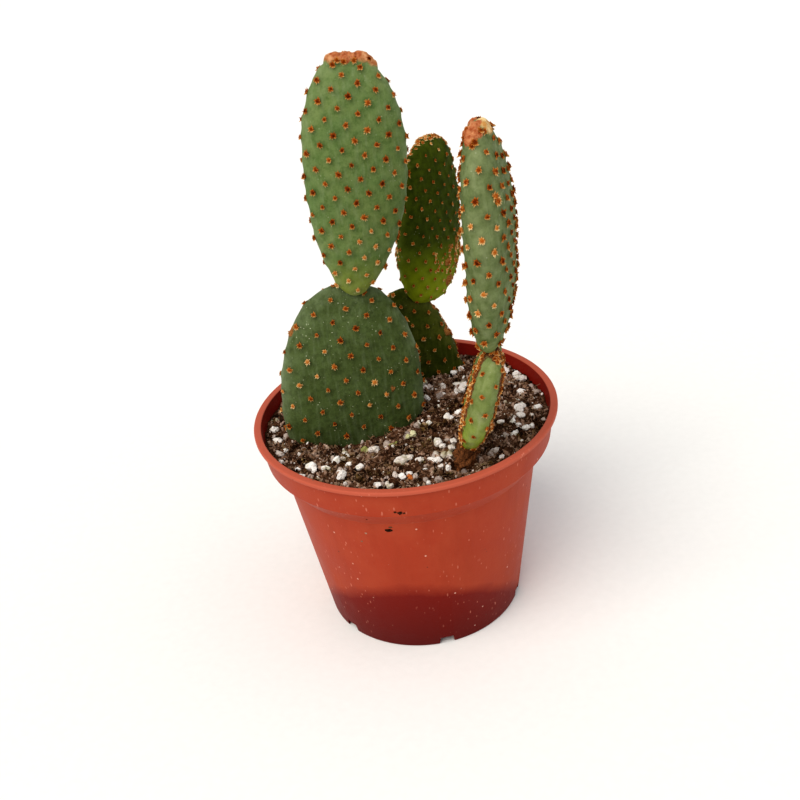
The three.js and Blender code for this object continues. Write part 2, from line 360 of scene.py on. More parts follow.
@dataclass(frozen=True)
class GlochidBristle:
    """Tufts of short barbed bristles.

    Fine dry hairs packed upright: dark red-brown where one looks into the tuft, orange-brown on its
    flanks and cream at its lower fringe, with no gloss.
    """

    name: str = "glochid_bristle"
    stops: tuple[tuple[float, str], ...] = (
        (0.04, "#4b1c04"),
        (0.2, "#7d370b"),
        (0.4, "#ab6022"),
        (0.62, "#c58a48"),
        (0.84, "#dab079"),
        (1.0, "#eacf9c"),
    )
    relief: float = 0.15

    def build(self) -> Material:
        """Makes the material.

        Returns:
            The bristles, which read the attributes fringe, drop and tone.
        """
        material, tree, place, fringe, drop, tone = start_material(self.name, "fringe", "drop", "tone")
        # Single hairs are finer than the render shows, so the streaks are drawn 0.35 mm wide.
        hairs = add_node(
            tree, "TexNoise", {"Scale": per_mm(0.35), "Detail": 2.0, "Roughness": 0.7}, {"Vector": place}
        )
        light = weighted_sum(tree, tone, [(fringe, 0.6), (drop, 0.32), (hairs, 0.5)])
        light = add_node(tree, "Math", {"operation": "SUBTRACT", "Value_001": 0.2}, {"Value": light})
        colour = add_node(tree, "ValToRGB", {"stops": self.stops}, {"Fac": light})
        constants = {"IOR": 1.5, "Roughness": 0.9, "Specular IOR Level": 0.04}
        finish_material(tree, constants, {"Base Color": colour}, hairs, self.relief)
        return material


@dataclass(frozen=True)
class TerracottaPolypropylene:
    """Injection-moulded polypropylene coloured like terracotta.

    Thin waxy plastic: a satin surface with fine moulding bloom, hairline scuffs, pale specks of lime
    and a little soil dust, with a painted highlight on its lip, painted shade on its inner wall and
    painted shadow over its lower wall.
    """

    name: str = "terracotta_polypropylene"
    body: str = "#a53f25"
    faded: str = "#b05135"
    shade: str = "#93361c"
    # A painted highlight on the top of the lip.
    lip: str = "#bb614b"
    # The next two colours are painted shadow over the lower wall; the second is deepest towards the foot.
    painted_shadow: str = "#700b02"
    painted_deep_shadow: str = "#4a0000"
    # Painted shade: the inner wall is coloured a deeper red.
    inside: str = "#861f12"
    scuffed: str = "#d98f78"
    lip_height: float = 72.4
    # Height and slant of the line below which the wall takes painted shadow.
    shadow_line_height: float = -1.3
    shadow_line_tilt: tuple[float, float] = (0.12, 0.77)
    # Short strokes 0.3 mm wide, of three leanings.
    scuffs: tuple[Strokes, ...] = (
        Strokes(2.2, 0.4, (0.0, 0.9, 0.9), 0.15, 0.8),
        Strokes(2.7, 0.3, (0.0, 0.4, 0.4), 0.12, 0.8),
        Strokes(1.9, 0.5, (0.0, 2.2, 2.2), 0.14, 0.8),
    )
    speck_stops: tuple[tuple[float, str], ...] = (
        (0.0, "#3b2218"),
        (0.35, "#5c3a2a"),
        (0.55, "#dba894"),
        (1.0, "#e8cabc"),
    )
    relief: float = 0.05

    def build(self) -> Material:
        """Makes the material.

        Returns:
            The plastic, which reads the attributes inner and worn.
        """
        material, tree, place, inner, worn = start_material(self.name, "inner", "worn")
        spot = add_node(tree, "SeparateXYZ", {}, {"Vector": place}).outputs
        # Bloom 14 mm across, flow marks 7 mm wide that run up the wall, rubbed places of 17 mm and
        # moulding grain of 0.8 mm.
        drawn_up = add_node(tree, "Mapping", {"Scale": (1.0, 1.0, 0.12)}, {"Vector": place})
        bloom, flow, rubbed, moulding = (
            add_node(
                tree, "TexNoise", {"Scale": per_mm(size), "Detail": 4.0, "Roughness": 0.6}, {"Vector": where}
            )
            for size, where in ((14, place), (7, drawn_up), (17, place), (0.8, place))
        )
        # Painted shadow darkens the lower wall below a slanting line. It fades in above the line and is
        # deepest towards the foot.
        slant_x, slant_y = self.shadow_line_tilt
        level = weighted_sum(tree, spot["Z"], [(spot["X"], slant_x), (spot["Y"], slant_y), (bloom, 5 * MM)])
        share = {
            name: add_node(
                tree, "MapRange", {"From Min": low, "From Max": high, "To Max": most}, {"Value": source}
            )
            for name, source, low, high, most in (
                ("bloom", bloom, 0.42, 0.7, 0.55),
                ("flow", flow, 0.5, 0.75, 0.35),
                ("painted_shadow_fade", level, (self.shadow_line_height + 24) * MM, self.shadow_line_height * MM, 0.3),
                ("painted_shadow", level, (self.shadow_line_height + 4) * MM, (self.shadow_line_height - 1) * MM, 0.92),
                ("painted_deep_shadow", level, self.shadow_line_height * MM, (self.shadow_line_height - 24) * MM, 0.75),
                ("lip", spot["Z"], self.lip_height * MM, (self.lip_height + 0.6) * MM, 0.8),
                ("rubbed", rubbed, 0.5, 0.62, 0.6),
            )
        }
        scuffable = add_node(
            tree, "Math", {"operation": "MAXIMUM"}, {"Value": share["rubbed"], "Value_001": worn}
        )
        # Specks of dried lime and soil, about 0.4 mm across and 5 mm apart.
        cells = add_node(tree, "TexVoronoi", {"Scale": per_mm(5.0)}, {"Vector": place}).outputs
        speck_share = add_node(
            tree,
            "MapRange",
            {"From Min": 0.075, "From Max": 0.045, "To Max": 0.75},
            {"Value": cells["Distance"]},
        )
        speck = add_node(tree, "ValToRGB", {"stops": self.speck_stops}, {"Fac": cells["Color"]})
        layers = [
            (share["bloom"], self.faded),
            (share["flow"], self.shade),
            # Painted shadow over the lower wall, in three steps.
            (share["painted_shadow_fade"], self.shade),
            (share["painted_shadow"], self.painted_shadow),
            (share["painted_deep_shadow"], self.painted_deep_shadow),
            # A painted highlight on the top of the lip.
            (share["lip"], self.lip),
            # Painted shade on the inner wall.
            (inner, self.inside),
            *((scuffs.lay(tree, place, scuffable), self.scuffed) for scuffs in self.scuffs),
            (speck_share, speck),
        ]
        colour = lay_over(tree, self.body, layers)
        roughness = add_node(
            tree,
            "MapRange",
            {"From Min": 0.3, "From Max": 0.7, "To Min": 0.42, "To Max": 0.58},
            {"Value": bloom},
        )
        height = weighted_sum(tree, moulding, [(flow, 3.0)])
        constants = {"IOR": 1.49, "Specular IOR Level": 0.13}
        finish_material(tree, constants, {"Base Color": colour, "Roughness": roughness}, height, self.relief)
        return material


@dataclass(frozen=True)
class GrainFinish:
    """Loose matter of the mix, coloured grain by grain.

    Each kind is dull and porous, with its tone drawn per grain and a crumbly surface: peat is dark
    and fibrous, perlite is a white popped glass, and root fibre is a dry straw brown.
    """

    name: str
    stops: tuple[tuple[float, str], ...]
    grit: float
    relief: float
    drift: float = 0.0
    moss: float = 0.0
    algae: str = "#a3a050"

    def build(self) -> Material:
        """Makes the material.

        Returns:
            The grains, which read the attribute tone.
        """
        material, tree, place, tone = start_material(self.name, "tone")
        # The grit of the grain itself, drier and damper places 10 mm across, and films of algae that
        # grow in places 6 mm across.
        grit, dryness, film = (
            add_node(
                tree,
                "TexNoise",
                {"Scale": per_mm(size), "Detail": detail, "Roughness": 0.7},
                {"Vector": place},
            )
            for size, detail in ((self.grit, 4.0), (10, 4.0), (6, 3.0))
        )
        light = weighted_sum(tree, tone, [(grit, 0.7), (dryness, self.drift)])
        middle = 0.35 + 0.5 * self.drift
        light = add_node(tree, "Math", {"operation": "SUBTRACT", "Value_001": middle}, {"Value": light})
        colour = add_node(tree, "ValToRGB", {"stops": self.stops}, {"Fac": light})
        film_share = add_node(
            tree, "MapRange", {"From Min": 0.52, "From Max": 0.66, "To Max": self.moss}, {"Value": film}
        )
        colour = lay_over(tree, colour, [(film_share, self.algae, "MULTIPLY")])
        constants = {"IOR": 1.4, "Roughness": 0.95, "Specular IOR Level": 0.1}
        finish_material(tree, constants, {"Base Color": colour}, grit, self.relief)
        return material


@dataclass(frozen=True)
class PaintedFloor:
    """Matt pale paint on a board: an even field with a barely visible roller stipple."""

    name: str = "matt_pale_paint"
    relief: float = 0.05

    def build(self) -> Material:
        """Makes the floor's material and returns it."""
        material, tree, place = start_material(self.name)
        stipple = add_node(tree, "TexNoise", {"Scale": per_mm(3), "Detail": 2.0}, {"Vector": place})
        colour = lay_over(tree, "#ecebe8", [(stipple, "#f2f1ee")])
        constants = {"Roughness": 0.9, "Specular IOR Level": 0.1}
        finish_material(tree, constants, {"Base Color": colour}, stipple, self.relief)
        return material


# ------------------------------------------------------------------ meshes
def link_object(name: str, data: ID) -> Object:
    """Makes an object of some data and puts it in the scene."""
    made = bpy.data.objects.new(name, data)
    bpy.context.scene.collection.objects.link(made)
    return made


def mesh_object(name: str, points: np.ndarray, faces: list[list[int]], smooth: bool = True) -> Object:
    """Makes a mesh object in the scene.

    Args:
        name: the piece's name.
        points: corners in metres.
        faces: corner numbers of each face, outward by the right hand.
        smooth: whether the faces are shaded as one skin.
    Returns:
        The object, at the origin.
    """
    mesh = bpy.data.meshes.new(name)
    mesh.from_pydata([tuple(p) for p in np.asarray(points, float)], [], faces)
    mesh.polygons.foreach_set("use_smooth", [smooth] * len(mesh.polygons))
    mesh.update()
    return link_object(name, mesh)


def keep_result(name: str, host: Object, modifier: Modifier) -> Object:
    """Turns what a modifier makes of a host into a plain mesh.

    Args:
        name: the new piece's name.
        host: the object that has the modifier; it is removed.
        modifier: the modifier.
    Returns:
        The new object, at the origin.
    """
    bpy.context.view_layer.update()
    depsgraph = bpy.context.evaluated_depsgraph_get()
    mesh = bpy.data.meshes.new_from_object(
        host.evaluated_get(depsgraph), preserve_all_data_layers=True, depsgraph=depsgraph
    )
    mesh.name = name
    host.modifiers.remove(modifier)
    bpy.data.objects.remove(host)
    return link_object(name, mesh)


def set_attribute(mesh: Mesh, name: str, values: np.ndarray) -> None:
    """Stores one number, or one vector, for each point of a mesh."""
    values = np.asarray(values, np.float32)
    kind, key = ("FLOAT_VECTOR", "vector") if values.ndim == 2 else ("FLOAT", "value")
    mesh.attributes.new(name, kind, "POINT").data.foreach_set(key, values.ravel())


def points_of(mesh: Mesh) -> np.ndarray:
    """The mesh's corners as rows."""
    flat = np.zeros(len(mesh.vertices) * 3, np.float32)
    mesh.vertices.foreach_get("co", flat)
    return flat.reshape(-1, 3).astype(float)


def normals_of(mesh: Mesh) -> np.ndarray:
    """The mesh's corner normals as rows."""
    flat = np.zeros(len(mesh.vertices) * 3, np.float32)
    mesh.vertex_normals.foreach_get("vector", flat)
    return flat.reshape(-1, 3).astype(float)


def move_points(mesh: Mesh, points: np.ndarray) -> None:
    """Puts the mesh's corners at these rows."""
    mesh.vertices.foreach_set("co", np.asarray(points, np.float32).ravel())
    mesh.update()


def lumps(points: np.ndarray, size: float, octaves: int = 3, shift: float = 0.0) -> np.ndarray:
    """Smooth noise at some places.

    Args:
        points: places in millimetres.
        size: width of a lump in millimetres.
        octaves: how many finer layers it has.
        shift: moves the pattern, so that two pieces differ.
    Returns:
        One value per place, about -1 to 1.
    """
    offset = Vector((shift * 13.7, shift * 7.1, shift * 3.3))
    return np.array([noise.fractal(Vector(p) / size + offset, 1.0, 2.0, octaves) for p in points])


def turns_of(steps: int) -> np.ndarray:
    """Angles of equal steps once round a circle, from 0, in radians."""
    return np.arange(steps) * 2 * math.pi / steps


def circle(radius: float, height: float, steps: int) -> np.ndarray:
    """A level ring of points round the axis, as rows."""
    angle = turns_of(steps)
    return np.column_stack([radius * np.cos(angle), radius * np.sin(angle), np.full(steps, height)])


def ring_faces(rings: int, steps: int, start: int = 1) -> list[list[int]]:
    """Faces of a skin over rings of points between one point below and one above.

    Args:
        rings: how many rings there are.
        steps: points in each ring, counted round +Z.
        start: number of the first ring's first point; the point below is just before it.
    Returns:
        The faces, pointing outwards where the rings rise.
    """
    faces = []
    top = start + rings * steps
    for i in range(steps):
        after = (i + 1) % steps
        faces.append([start - 1, start + after, start + i])
        for ring in range(rings - 1):
            low = start + ring * steps
            faces.append([low + i, low + after, low + steps + after, low + steps + i])
        faces.append([top - steps + i, top - steps + after, top])
    return faces


@dataclass(frozen=True)
class Corner:
    """A corner of an outline, as radius and height, and how much it is rounded; millimetres."""

    radius: float
    height: float
    rounding: float = 0.0


def rounded_outline(corners: list[Corner], arc_steps: int = 6) -> np.ndarray:
    """Walks an open outline and rounds its corners.

    Args:
        corners: the corners in order.
        arc_steps: pieces of each rounding.
    Returns:
        Rows of radius and height.
    """
    spots = [np.array([c.radius, c.height]) for c in corners]
    path = [spots[0]]
    for before, corner, spot, after in zip(spots, corners[1:-1], spots[1:-1], spots[2:]):
        if corner.rounding == 0:
            path.append(spot)
            continue
        back = (before - spot) / np.linalg.norm(before - spot)
        ahead = (after - spot) / np.linalg.norm(after - spot)
        half = math.acos(float(np.clip(back @ ahead, -1, 1))) / 2
        reach = corner.rounding / math.tan(half)
        start, end = spot + back * reach, spot + ahead * reach
        for step in range(arc_steps + 1):
            t = step / arc_steps
            path.append((1 - t) ** 2 * start + 2 * t * (1 - t) * spot + t**2 * end)
    path.append(spots[-1])
    return np.array(path)


def lathe(outline: np.ndarray, steps: int) -> tuple[np.ndarray, list[list[int]]]:
    """Turns an outline that starts and ends on the axis into a closed skin.

    Args:
        outline: rows of radius and height, in millimetres.
        steps: points round the axis.
    Returns:
        The points in metres, and the faces.
    """
    rings = [circle(radius, height, steps) for radius, height in outline[1:-1]]
    points = np.vstack([[[0, 0, outline[0][1]]], *rings, [[0, 0, outline[-1][1]]]])
    return points * MM, ring_faces(len(rings), steps)


def dress(piece: Object, material: Material, node: str | None = None) -> Object:
    """Gives a finished piece its material and its place in the frame.

    Args:
        piece: the finished mesh object.
        material: what it is made of.
        node: the solid that the piece stands for, or None where it is added to one.
    Returns:
        The piece.
    """
    if not piece.data.materials:
        piece.data.materials.append(material)
    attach(piece, "root")
    if node:
        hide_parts(node)
    LOG.info("%s: %d faces of %s", piece.name, len(piece.data.polygons), material.name)
    return piece


# ------------------------------------------------------------------ what repeats
def new_tree(name: str, sizes: dict[str, float]) -> NodeTree:
    """Starts a geometry tree that stands patterns.

    Args:
        name: the tree's name.
        sizes: its named sizes and their usual values.
    Returns:
        The tree, with inputs Geometry, Patterns, Finish, Seed and the sizes, and no nodes.
    """
    tree = bpy.data.node_groups.new(name, "GeometryNodeTree")
    kinds = {"Geometry": "Geometry", "Patterns": "Collection", "Finish": "Material", "Seed": "Int"}
    for label, kind in {**kinds, **dict.fromkeys(sizes, "Float")}.items():
        tree.interface.new_socket(label, in_out="INPUT", socket_type=f"NodeSocket{kind}")
    for socket in tree.interface.items_tree:
        if socket.name in sizes:
            socket.default_value = sizes[socket.name]
    tree.interface.new_socket("Geometry", in_out="OUTPUT", socket_type="NodeSocketGeometry")
    return tree


def stand_patterns(
    tree: NodeTree, seats: object, turn: object, size: object, tone: object | None = None
) -> None:
    """Ends a geometry tree: stands a pattern on each seat and makes it real, with its finish.

    Args:
        tree: the tree, with inputs Patterns, Seed and Finish.
        seats: the points.
        turn: Euler angles of each pattern.
        size: scale of each pattern.
        tone: its tone, where the points do not carry one.
    """
    given = add_node(tree, "NodeGroupInput").outputs
    patterns = add_node(
        tree,
        "GeometryNodeCollectionInfo",
        {"Separate Children": True, "Reset Children": True},
        {"Collection": given["Patterns"]},
    )
    pick = add_node(
        tree, "FunctionNodeRandomValue", {"data_type": "INT", "Max": 99}, {"Seed": given["Seed"]}
    )
    stood = add_node(
        tree,
        "GeometryNodeInstanceOnPoints",
        {"Pick Instance": True},
        {
            "Points": seats,
            "Instance": patterns,
            "Instance Index": pick,
            "Rotation": add_node(tree, "FunctionNodeEulerToRotation", {}, {"Euler": turn}),
            "Scale": size,
        },
    )
    if tone is not None:
        stood = add_node(
            tree,
            "GeometryNodeStoreNamedAttribute",
            {"data_type": "FLOAT", "domain": "INSTANCE", "Name": "tone"},
            {"Geometry": stood, "Value": tone},
        )
    real = add_node(tree, "GeometryNodeRealizeInstances", {}, {"Geometry": stood})
    made = add_node(tree, "GeometryNodeSetMaterial", {}, {"Geometry": real, "Material": given["Finish"]})
    add_node(tree, "NodeGroupOutput", {}, {"Geometry": made})


def planting_tree() -> NodeTree:
    """Geometry tree that stands a pattern on each point, by the point's own turn and size.

    Returns:
        The tree, with inputs Patterns, Finish and Seed.
    """
    tree = new_tree("plant_on_points", {})
    turn, size = (
        add_node(tree, "GeometryNodeInputNamedAttribute", {"data_type": kind, "Name": name})
        for name, kind in (("turn", "FLOAT_VECTOR"), ("size", "FLOAT"))
    )
    stand_patterns(tree, add_node(tree, "NodeGroupInput").outputs["Geometry"], turn, size)
    return tree


def strewing_tree() -> NodeTree:
    """Geometry tree that strews turned patterns over a surface, with many small and few large ones.

    Returns:
        The tree, with inputs Patterns, Finish, Seed, Density, Least, Most and Tumble.
    """
    tree = new_tree("strew_on_surface", {"Density": 1.0, "Least": MM, "Most": MM, "Tumble": math.pi})
    given = add_node(tree, "NodeGroupInput").outputs
    spots = add_node(
        tree,
        "GeometryNodeDistributePointsOnFaces",
        {},
        {"Mesh": given["Geometry"], "Density": given["Density"], "Seed": given["Seed"]},
    )
    # Size, heading and tone are drawn apart, each from a seed of its own.
    turn_seed, tone_seed = (
        add_node(tree, "ShaderNodeMath", {"operation": "ADD", "Value_001": step}, {"Value": given["Seed"]})
        for step in (17.0, 5.0)
    )
    chance = add_node(tree, "FunctionNodeRandomValue", {"data_type": "FLOAT"}, {"Seed": given["Seed"]})
    few_large = add_node(tree, "ShaderNodeMath", {"operation": "POWER", "Value_001": 3.0}, {"Value": chance})
    size = add_node(
        tree,
        "ShaderNodeMapRange",
        {},
        {"Value": few_large, "To Min": given["Least"], "To Max": given["Most"]},
    )
    share = add_node(
        tree,
        "FunctionNodeRandomValue",
        {"data_type": "FLOAT_VECTOR", "Min": (-1.0, -1.0, -1.0), "Max": (1.0, 1.0, 1.0)},
        {"Seed": turn_seed},
    )
    # A pattern tumbles round X and Y as far as it is allowed, and heads anywhere.
    across = add_node(tree, "ShaderNodeSeparateXYZ", {}, {"Vector": share}).outputs
    turned = {
        axis: add_node(
            tree,
            "ShaderNodeMath",
            {"operation": "MULTIPLY"},
            {"Value": across[axis], "Value_001": given["Tumble"]},
        )
        for axis in "XY"
    }
    heading = add_node(
        tree, "ShaderNodeMath", {"operation": "MULTIPLY", "Value_001": math.pi}, {"Value": across["Z"]}
    )
    euler = add_node(tree, "ShaderNodeCombineXYZ", {}, {**turned, "Z": heading})
    tone = add_node(tree, "FunctionNodeRandomValue", {"data_type": "FLOAT"}, {"Seed": tone_seed})
    stand_patterns(tree, spots.outputs["Points"], euler, size, tone)
    return tree


def grow(name: str, host: Object, tree: NodeTree, values: dict[str, object]) -> Object:
    """Runs a geometry tree on a host and keeps the result as a plain mesh.

    Args:
        name: the new piece's name.
        host: the object that carries the points or the surface; it is removed.
        tree: the geometry tree.
        values: the tree's named inputs.
    Returns:
        The new object, at the origin.
    """
    modifier = host.modifiers.new("grow", "NODES")
    modifier.node_group = tree
    identifiers = {
        item.name: item.identifier
        for item in tree.interface.items_tree
        if item.item_type == "SOCKET" and item.in_out == "INPUT"
    }
    for label, value in values.items():
        modifier[identifiers[label]] = value
    return keep_result(name, host, modifier)


@dataclass(frozen=True)
class Seat:
    """Where one pattern stands: place and size in metres, turn as Euler angles, and its tone."""

    place: tuple[float, float, float]
    turn: tuple[float, float, float]
    size: float
    tone: float


def plant(
    name: str, seats: list[Seat], tree: NodeTree, patterns: Collection, seed: int, finish: Material
) -> Object:
    """Stands patterns on their seats.

    Args:
        name: the new piece's name.
        seats: where the patterns stand.
        tree: the geometry tree that plants.
        patterns: what is drawn from.
        seed: the draw.
        finish: their material.
    Returns:
        The undressed piece.
    """
    host = mesh_object(f"{name}_seats", np.array([seat.place for seat in seats]), [])
    for key in ("turn", "size", "tone"):
        set_attribute(host.data, key, np.array([getattr(seat, key) for seat in seats]))
    return grow(name, host, tree, {"Patterns": patterns, "Seed": seed, "Finish": finish})


def pattern_collection(name: str, patterns: list[Object]) -> Collection:
    """Moves patterns out of the scene into a collection of their own."""
    collection = bpy.data.collections.new(name)
    for pattern in patterns:
        for holder in list(pattern.users_collection):
            holder.objects.unlink(pattern)
        collection.objects.link(pattern)
    return collection


# ------------------------------------------------------------------ tufts
@dataclass(frozen=True)
class TuftPattern:
    """A pincushion of bristles, one unit in radius, standing on +Z with +Y up the pad."""

    bristles: int = 12
    bristle_sides: int = 3
    bristle_width: float = 0.25
    bristle_root: float = 0.4
    cushion_sides: int = 6
    cushion_rings: tuple[tuple[float, float], ...] = ((0.6, -0.25), (0.56, 0.3), (0.3, 0.54))
    cushion_top: float = 0.58
    variants: int = 6
    seed: int = 21

    def cushion(self) -> tuple[list[Vector], list[list[int]]]:
        """The round heap that the bristles stand in.

        Returns:
            Its points and faces.
        """
        points = [Vector((0, 0, self.cushion_rings[0][1]))]
        for turn, (radius, height) in enumerate(self.cushion_rings):
            for side in range(self.cushion_sides):
                angle = 2 * math.pi * (side + 0.5 * turn) / self.cushion_sides
                points.append(Vector((radius * math.cos(angle), radius * math.sin(angle), height)))
        points.append(Vector((0, 0, self.cushion_top)))
        return points, ring_faces(len(self.cushion_rings), self.cushion_sides)

    def build(self) -> Collection:
        """Makes the variants.

        Returns:
            A collection of them; each carries the attributes fringe and drop.
        """
        rng = np.random.default_rng(self.seed)
        made = []
        for variant in range(self.variants):
            points, faces = self.cushion()
            points = [p * (1 + 0.12 * (rng.random() - 0.5)) for p in points]
            fringe = [0.6 * p.xy.length**1.6 for p in points]
            for i in range(self.bristles):
                # Most bristles ring the cushion; those on its lower side are the longest.
                angle = 2 * math.pi * (i + 0.8 * rng.random()) / self.bristles
                low = max(0.0, -math.sin(angle))
                rise = 0.12 + 0.95 * rng.random() - 0.1 * low
                way = Vector((math.cos(angle), math.sin(angle), rise)).normalized()
                length = 0.8 + 0.34 * rng.random() + 0.26 * low * rng.random()
                side = way.orthogonal().normalized()
                over = way.cross(side)
                start = len(points)
                tip = start + self.bristle_sides
                for k in range(self.bristle_sides):
                    turn = 2 * math.pi * k / self.bristle_sides
                    around = side * math.cos(turn) + over * math.sin(turn)
                    points.append(way * self.bristle_root + around * self.bristle_width)
                    fringe.append(0.34)
                    faces.append([start + k, start + (k + 1) % self.bristle_sides, tip])
                points.append(way * length)
                fringe.append(0.85 + 0.25 * low)
                faces.append(list(reversed(range(start, tip))))
            drop = [max(0.0, -p.y - 0.1) for p in points]
            pattern = mesh_object(f"pincushion_{variant}", np.array(points), faces, smooth=False)
            set_attribute(pattern.data, "fringe", np.array(fringe))
            set_attribute(pattern.data, "drop", np.array(drop))
            made.append(pattern)
        return pattern_collection("pincushions", made)


class TuftTone(Enum):
    """How a tuft is coloured: most are rust, young or bleached ones are cream."""

    RUST = 0.0
    ORANGE = 0.12
    CREAM = 0.36


# ------------------------------------------------------------------ pads
@dataclass(frozen=True)
class Bud:
    """A swollen young growth: degrees round the pad from its right edge, share of its height, radius."""

    around: float
    along: float
    radius: float
    woolly: bool = False

    @property
    def unevenness(self) -> tuple[float, float]:
        """Depth of its lumps, as a share of its height, and their width in millimetres."""
        return (0.4, 0.9) if self.woolly else (0.22, 1.4)


@dataclass(frozen=True)
class Spot:
    """A patch of a pad's skin: degrees round, share of its height, radius in millimetres.

    strength says how much a patch counts; where the spot is one woolly tuft, it is the tuft's tone.
    """

    around: float
    along: float
    radius: float
    strength: float = 1.0


@dataclass(frozen=True)
class Crown:
    """Woolly tufts crowded over a pad's tip, from left to right as shares of its half width."""

    left: float
    right: float
    count: int
    radius: float
    rows: int = 1
    cream: float = 0.3
    height: float = 2.0
    droop: float = 7.0


@dataclass(frozen=True)
class Fringe:
    """A crowded row of tufts up a pad, and the cork that may lie under it.

    around is in degrees, low and high are shares of the pad's height, and radius is a tuft's.
    """

    around: float
    low: float
    high: float
    count: int
    radius: float
    tone: float = 0.1
    cork: float = 0.0
    spread: float = 18.0


@dataclass(frozen=True)
class Stalk:
    """A bare corky stem under a pad: radius, length below the pad and root inside it.

    flare is how much wider its foot is, and rough how deep its bark, as a share of the radius.
    """

    radius: float
    length: float
    root: float
    flare: float = 0.5
    rough: float = 0.55
    rings: int = 34
    steps: int = 40


@dataclass(frozen=True)
class PadShape:
    """A flat stem, in millimetres and degrees: yaw turns it, lean tips it back, tilt to its right."""

    node: str
    base: tuple[float, float, float]
    yaw: float
    lean: float
    tilt: float
    length: float
    half_width: float
    half_thickness: float
    widest: float
    foot_taper: float
    tip_taper: float
    areoles: int
    tuft_radius: float
    seed: int
    bow: float = 0.0
    sway: float = 0.0
    buds: tuple[Bud, ...] = ()
    stalk: Stalk | None = None
    crown: Crown | None = None
    scars: tuple[Spot, ...] = ()
    cream_tufts: tuple[Spot, ...] = ()
    wool: tuple[Spot, ...] = ()
    tuft_tone: float = 0.0
    fringes: tuple[Fringe, ...] = ()


@dataclass
class Pad:
    """One pad of the cactus with its skin and its bristle tufts."""

    shape: PadShape
    skin: CactusSkin
    squareness: float = 2.3
    rings: int = 112
    steps: int = 144
    grid_rows: int = 65
    grid_steps: int = 73
    mound: float = 0.42
    mound_radius: float = 1.5
    halo_radius: float = 1.35
    wander: float = 0.3
    crust: float = 0.35
    tuft_sink: float = 0.12
    tuft_gap: float = 0.8
    tuft_over_mix: float = 0.4

    @property
    def placement(self) -> Matrix:
        """Where the pad's own frame stands, in millimetres."""
        s = self.shape
        turn = (
            Matrix.Rotation(math.radians(s.yaw), 4, "Z")
            @ Matrix.Rotation(math.radians(-s.lean), 4, "X")
            @ Matrix.Rotation(math.radians(s.tilt), 4, "Y")
        )
        return Matrix.Translation(s.base) @ turn

    def girth_at(self, along: np.ndarray) -> tuple[np.ndarray, np.ndarray]:
        """Half width and half thickness of the pad.

        Args:
            along: shares of its height.
        Returns:
            The two, in millimetres.
        """
        s = self.shape
        low = along < s.widest
        away = np.where(low, 1 - along / s.widest, (along - s.widest) / (1 - s.widest))
        taper = np.where(low, s.foot_taper, s.tip_taper)
        width = s.half_width * np.maximum(0, 1 - away**2) ** taper
        thickness = s.half_thickness * np.maximum(0, 1 - np.abs(away) ** 2.6) ** 0.5
        return width, thickness

    def local_points(self, along: np.ndarray, angle: np.ndarray) -> np.ndarray:
        """Points of the skin in the pad's own frame.

        Args:
            along: shares of its height.
            angle: radians round it, from its right edge through its back.
        Returns:
            Rows in millimetres.
        """
        s = self.shape
        width, thickness = self.girth_at(along)
        bend = np.sin(math.pi * along)
        power = 2 / self.squareness
        across, through = np.cos(angle), np.sin(angle)
        return np.stack(
            [
                width * np.sign(across) * np.abs(across) ** power + s.sway * bend,
                thickness * np.sign(through) * np.abs(through) ** power - s.bow * bend,
                s.length * along + 0 * angle,
            ],
            axis=-1,
        )

    def to_row(self, local: np.ndarray) -> np.ndarray:
        """Points of the pad's own frame as rows of the object's frame, in millimetres."""
        stand = np.array(self.placement)
        return local @ stand[:3, :3].T + stand[:3, 3]

    def holds(self, points: np.ndarray, margin: float) -> np.ndarray:
        """Which points lie inside the pad.

        Args:
            points: rows in millimetres.
            margin: how far the pad is swollen first.
        Returns:
            One truth value per row.
        """
        back = np.array(self.placement.inverted())
        local = points @ back[:3, :3].T + back[:3, 3]
        along = local[:, 2] / self.shape.length
        inside = (along > 0) & (along < 1)
        clipped = np.clip(along, 0.001, 0.999)
        width, thickness = self.girth_at(clipped)
        bend = np.sin(math.pi * clipped)
        across = np.abs(local[:, 0] - self.shape.sway * bend) / (width + margin)
        through = np.abs(local[:, 1] + self.shape.bow * bend) / (thickness + margin)
        return inside & (across**self.squareness + through**self.squareness < 1)

    def areoles(self) -> tuple[np.ndarray, np.ndarray]:
        """Where the tufts stand: a golden-angle spiral with the same area of skin for each.

        Returns:
            Share of the height and angle of each tuft.
        """
        tall = self.grid_rows
        along = np.linspace(0, 1, tall)
        angle = np.linspace(0, 2 * math.pi, self.grid_steps)
        grid = self.local_points(along[:, None] + 0 * angle, angle[None, :] + 0 * along[:, None])
        arcs = np.linalg.norm(np.diff(grid, axis=1), axis=2)
        walked = np.concatenate([np.zeros((tall, 1)), np.cumsum(arcs, axis=1)], axis=1)
        edge = np.linalg.norm(np.diff(grid[:, 0], axis=0), axis=1)
        flat = self.shape.length / (tall - 1)
        band = (walked[1:, -1] + walked[:-1, -1]) / 2 * np.sqrt(edge * flat)
        area = np.concatenate([[0], np.cumsum(band)])
        count = np.arange(self.shape.areoles)
        place = np.interp((count + 0.5) / len(count) * area[-1], area, along)
        ring = np.clip(np.rint(place * (tall - 1)).astype(int), 1, tall - 2)
        turn = np.modf(count * GOLDEN_ANGLE / (2 * math.pi))[0]
        where = [np.interp(t * walked[r, -1], walked[r], angle) for t, r in zip(turn, ring)]
        return place, np.array(where)

    def spot_weights(self, points: np.ndarray, spots: tuple[Spot, ...]) -> np.ndarray:
        """How strongly some spots colour the skin.

        Args:
            points: rows of the pad's own frame, in millimetres.
            spots: the spots.
        Returns:
            One value per row; 1 at the middle of a spot.
        """
        total = np.zeros(len(points))
        for spot in spots:
            centre = self.local_points(np.array([spot.along]), np.array([math.radians(spot.around)]))[0]
            away = np.linalg.norm(points - centre, axis=1)
            total = np.maximum(total, spot.strength * np.exp(-((away / spot.radius) ** 2)))
        return total

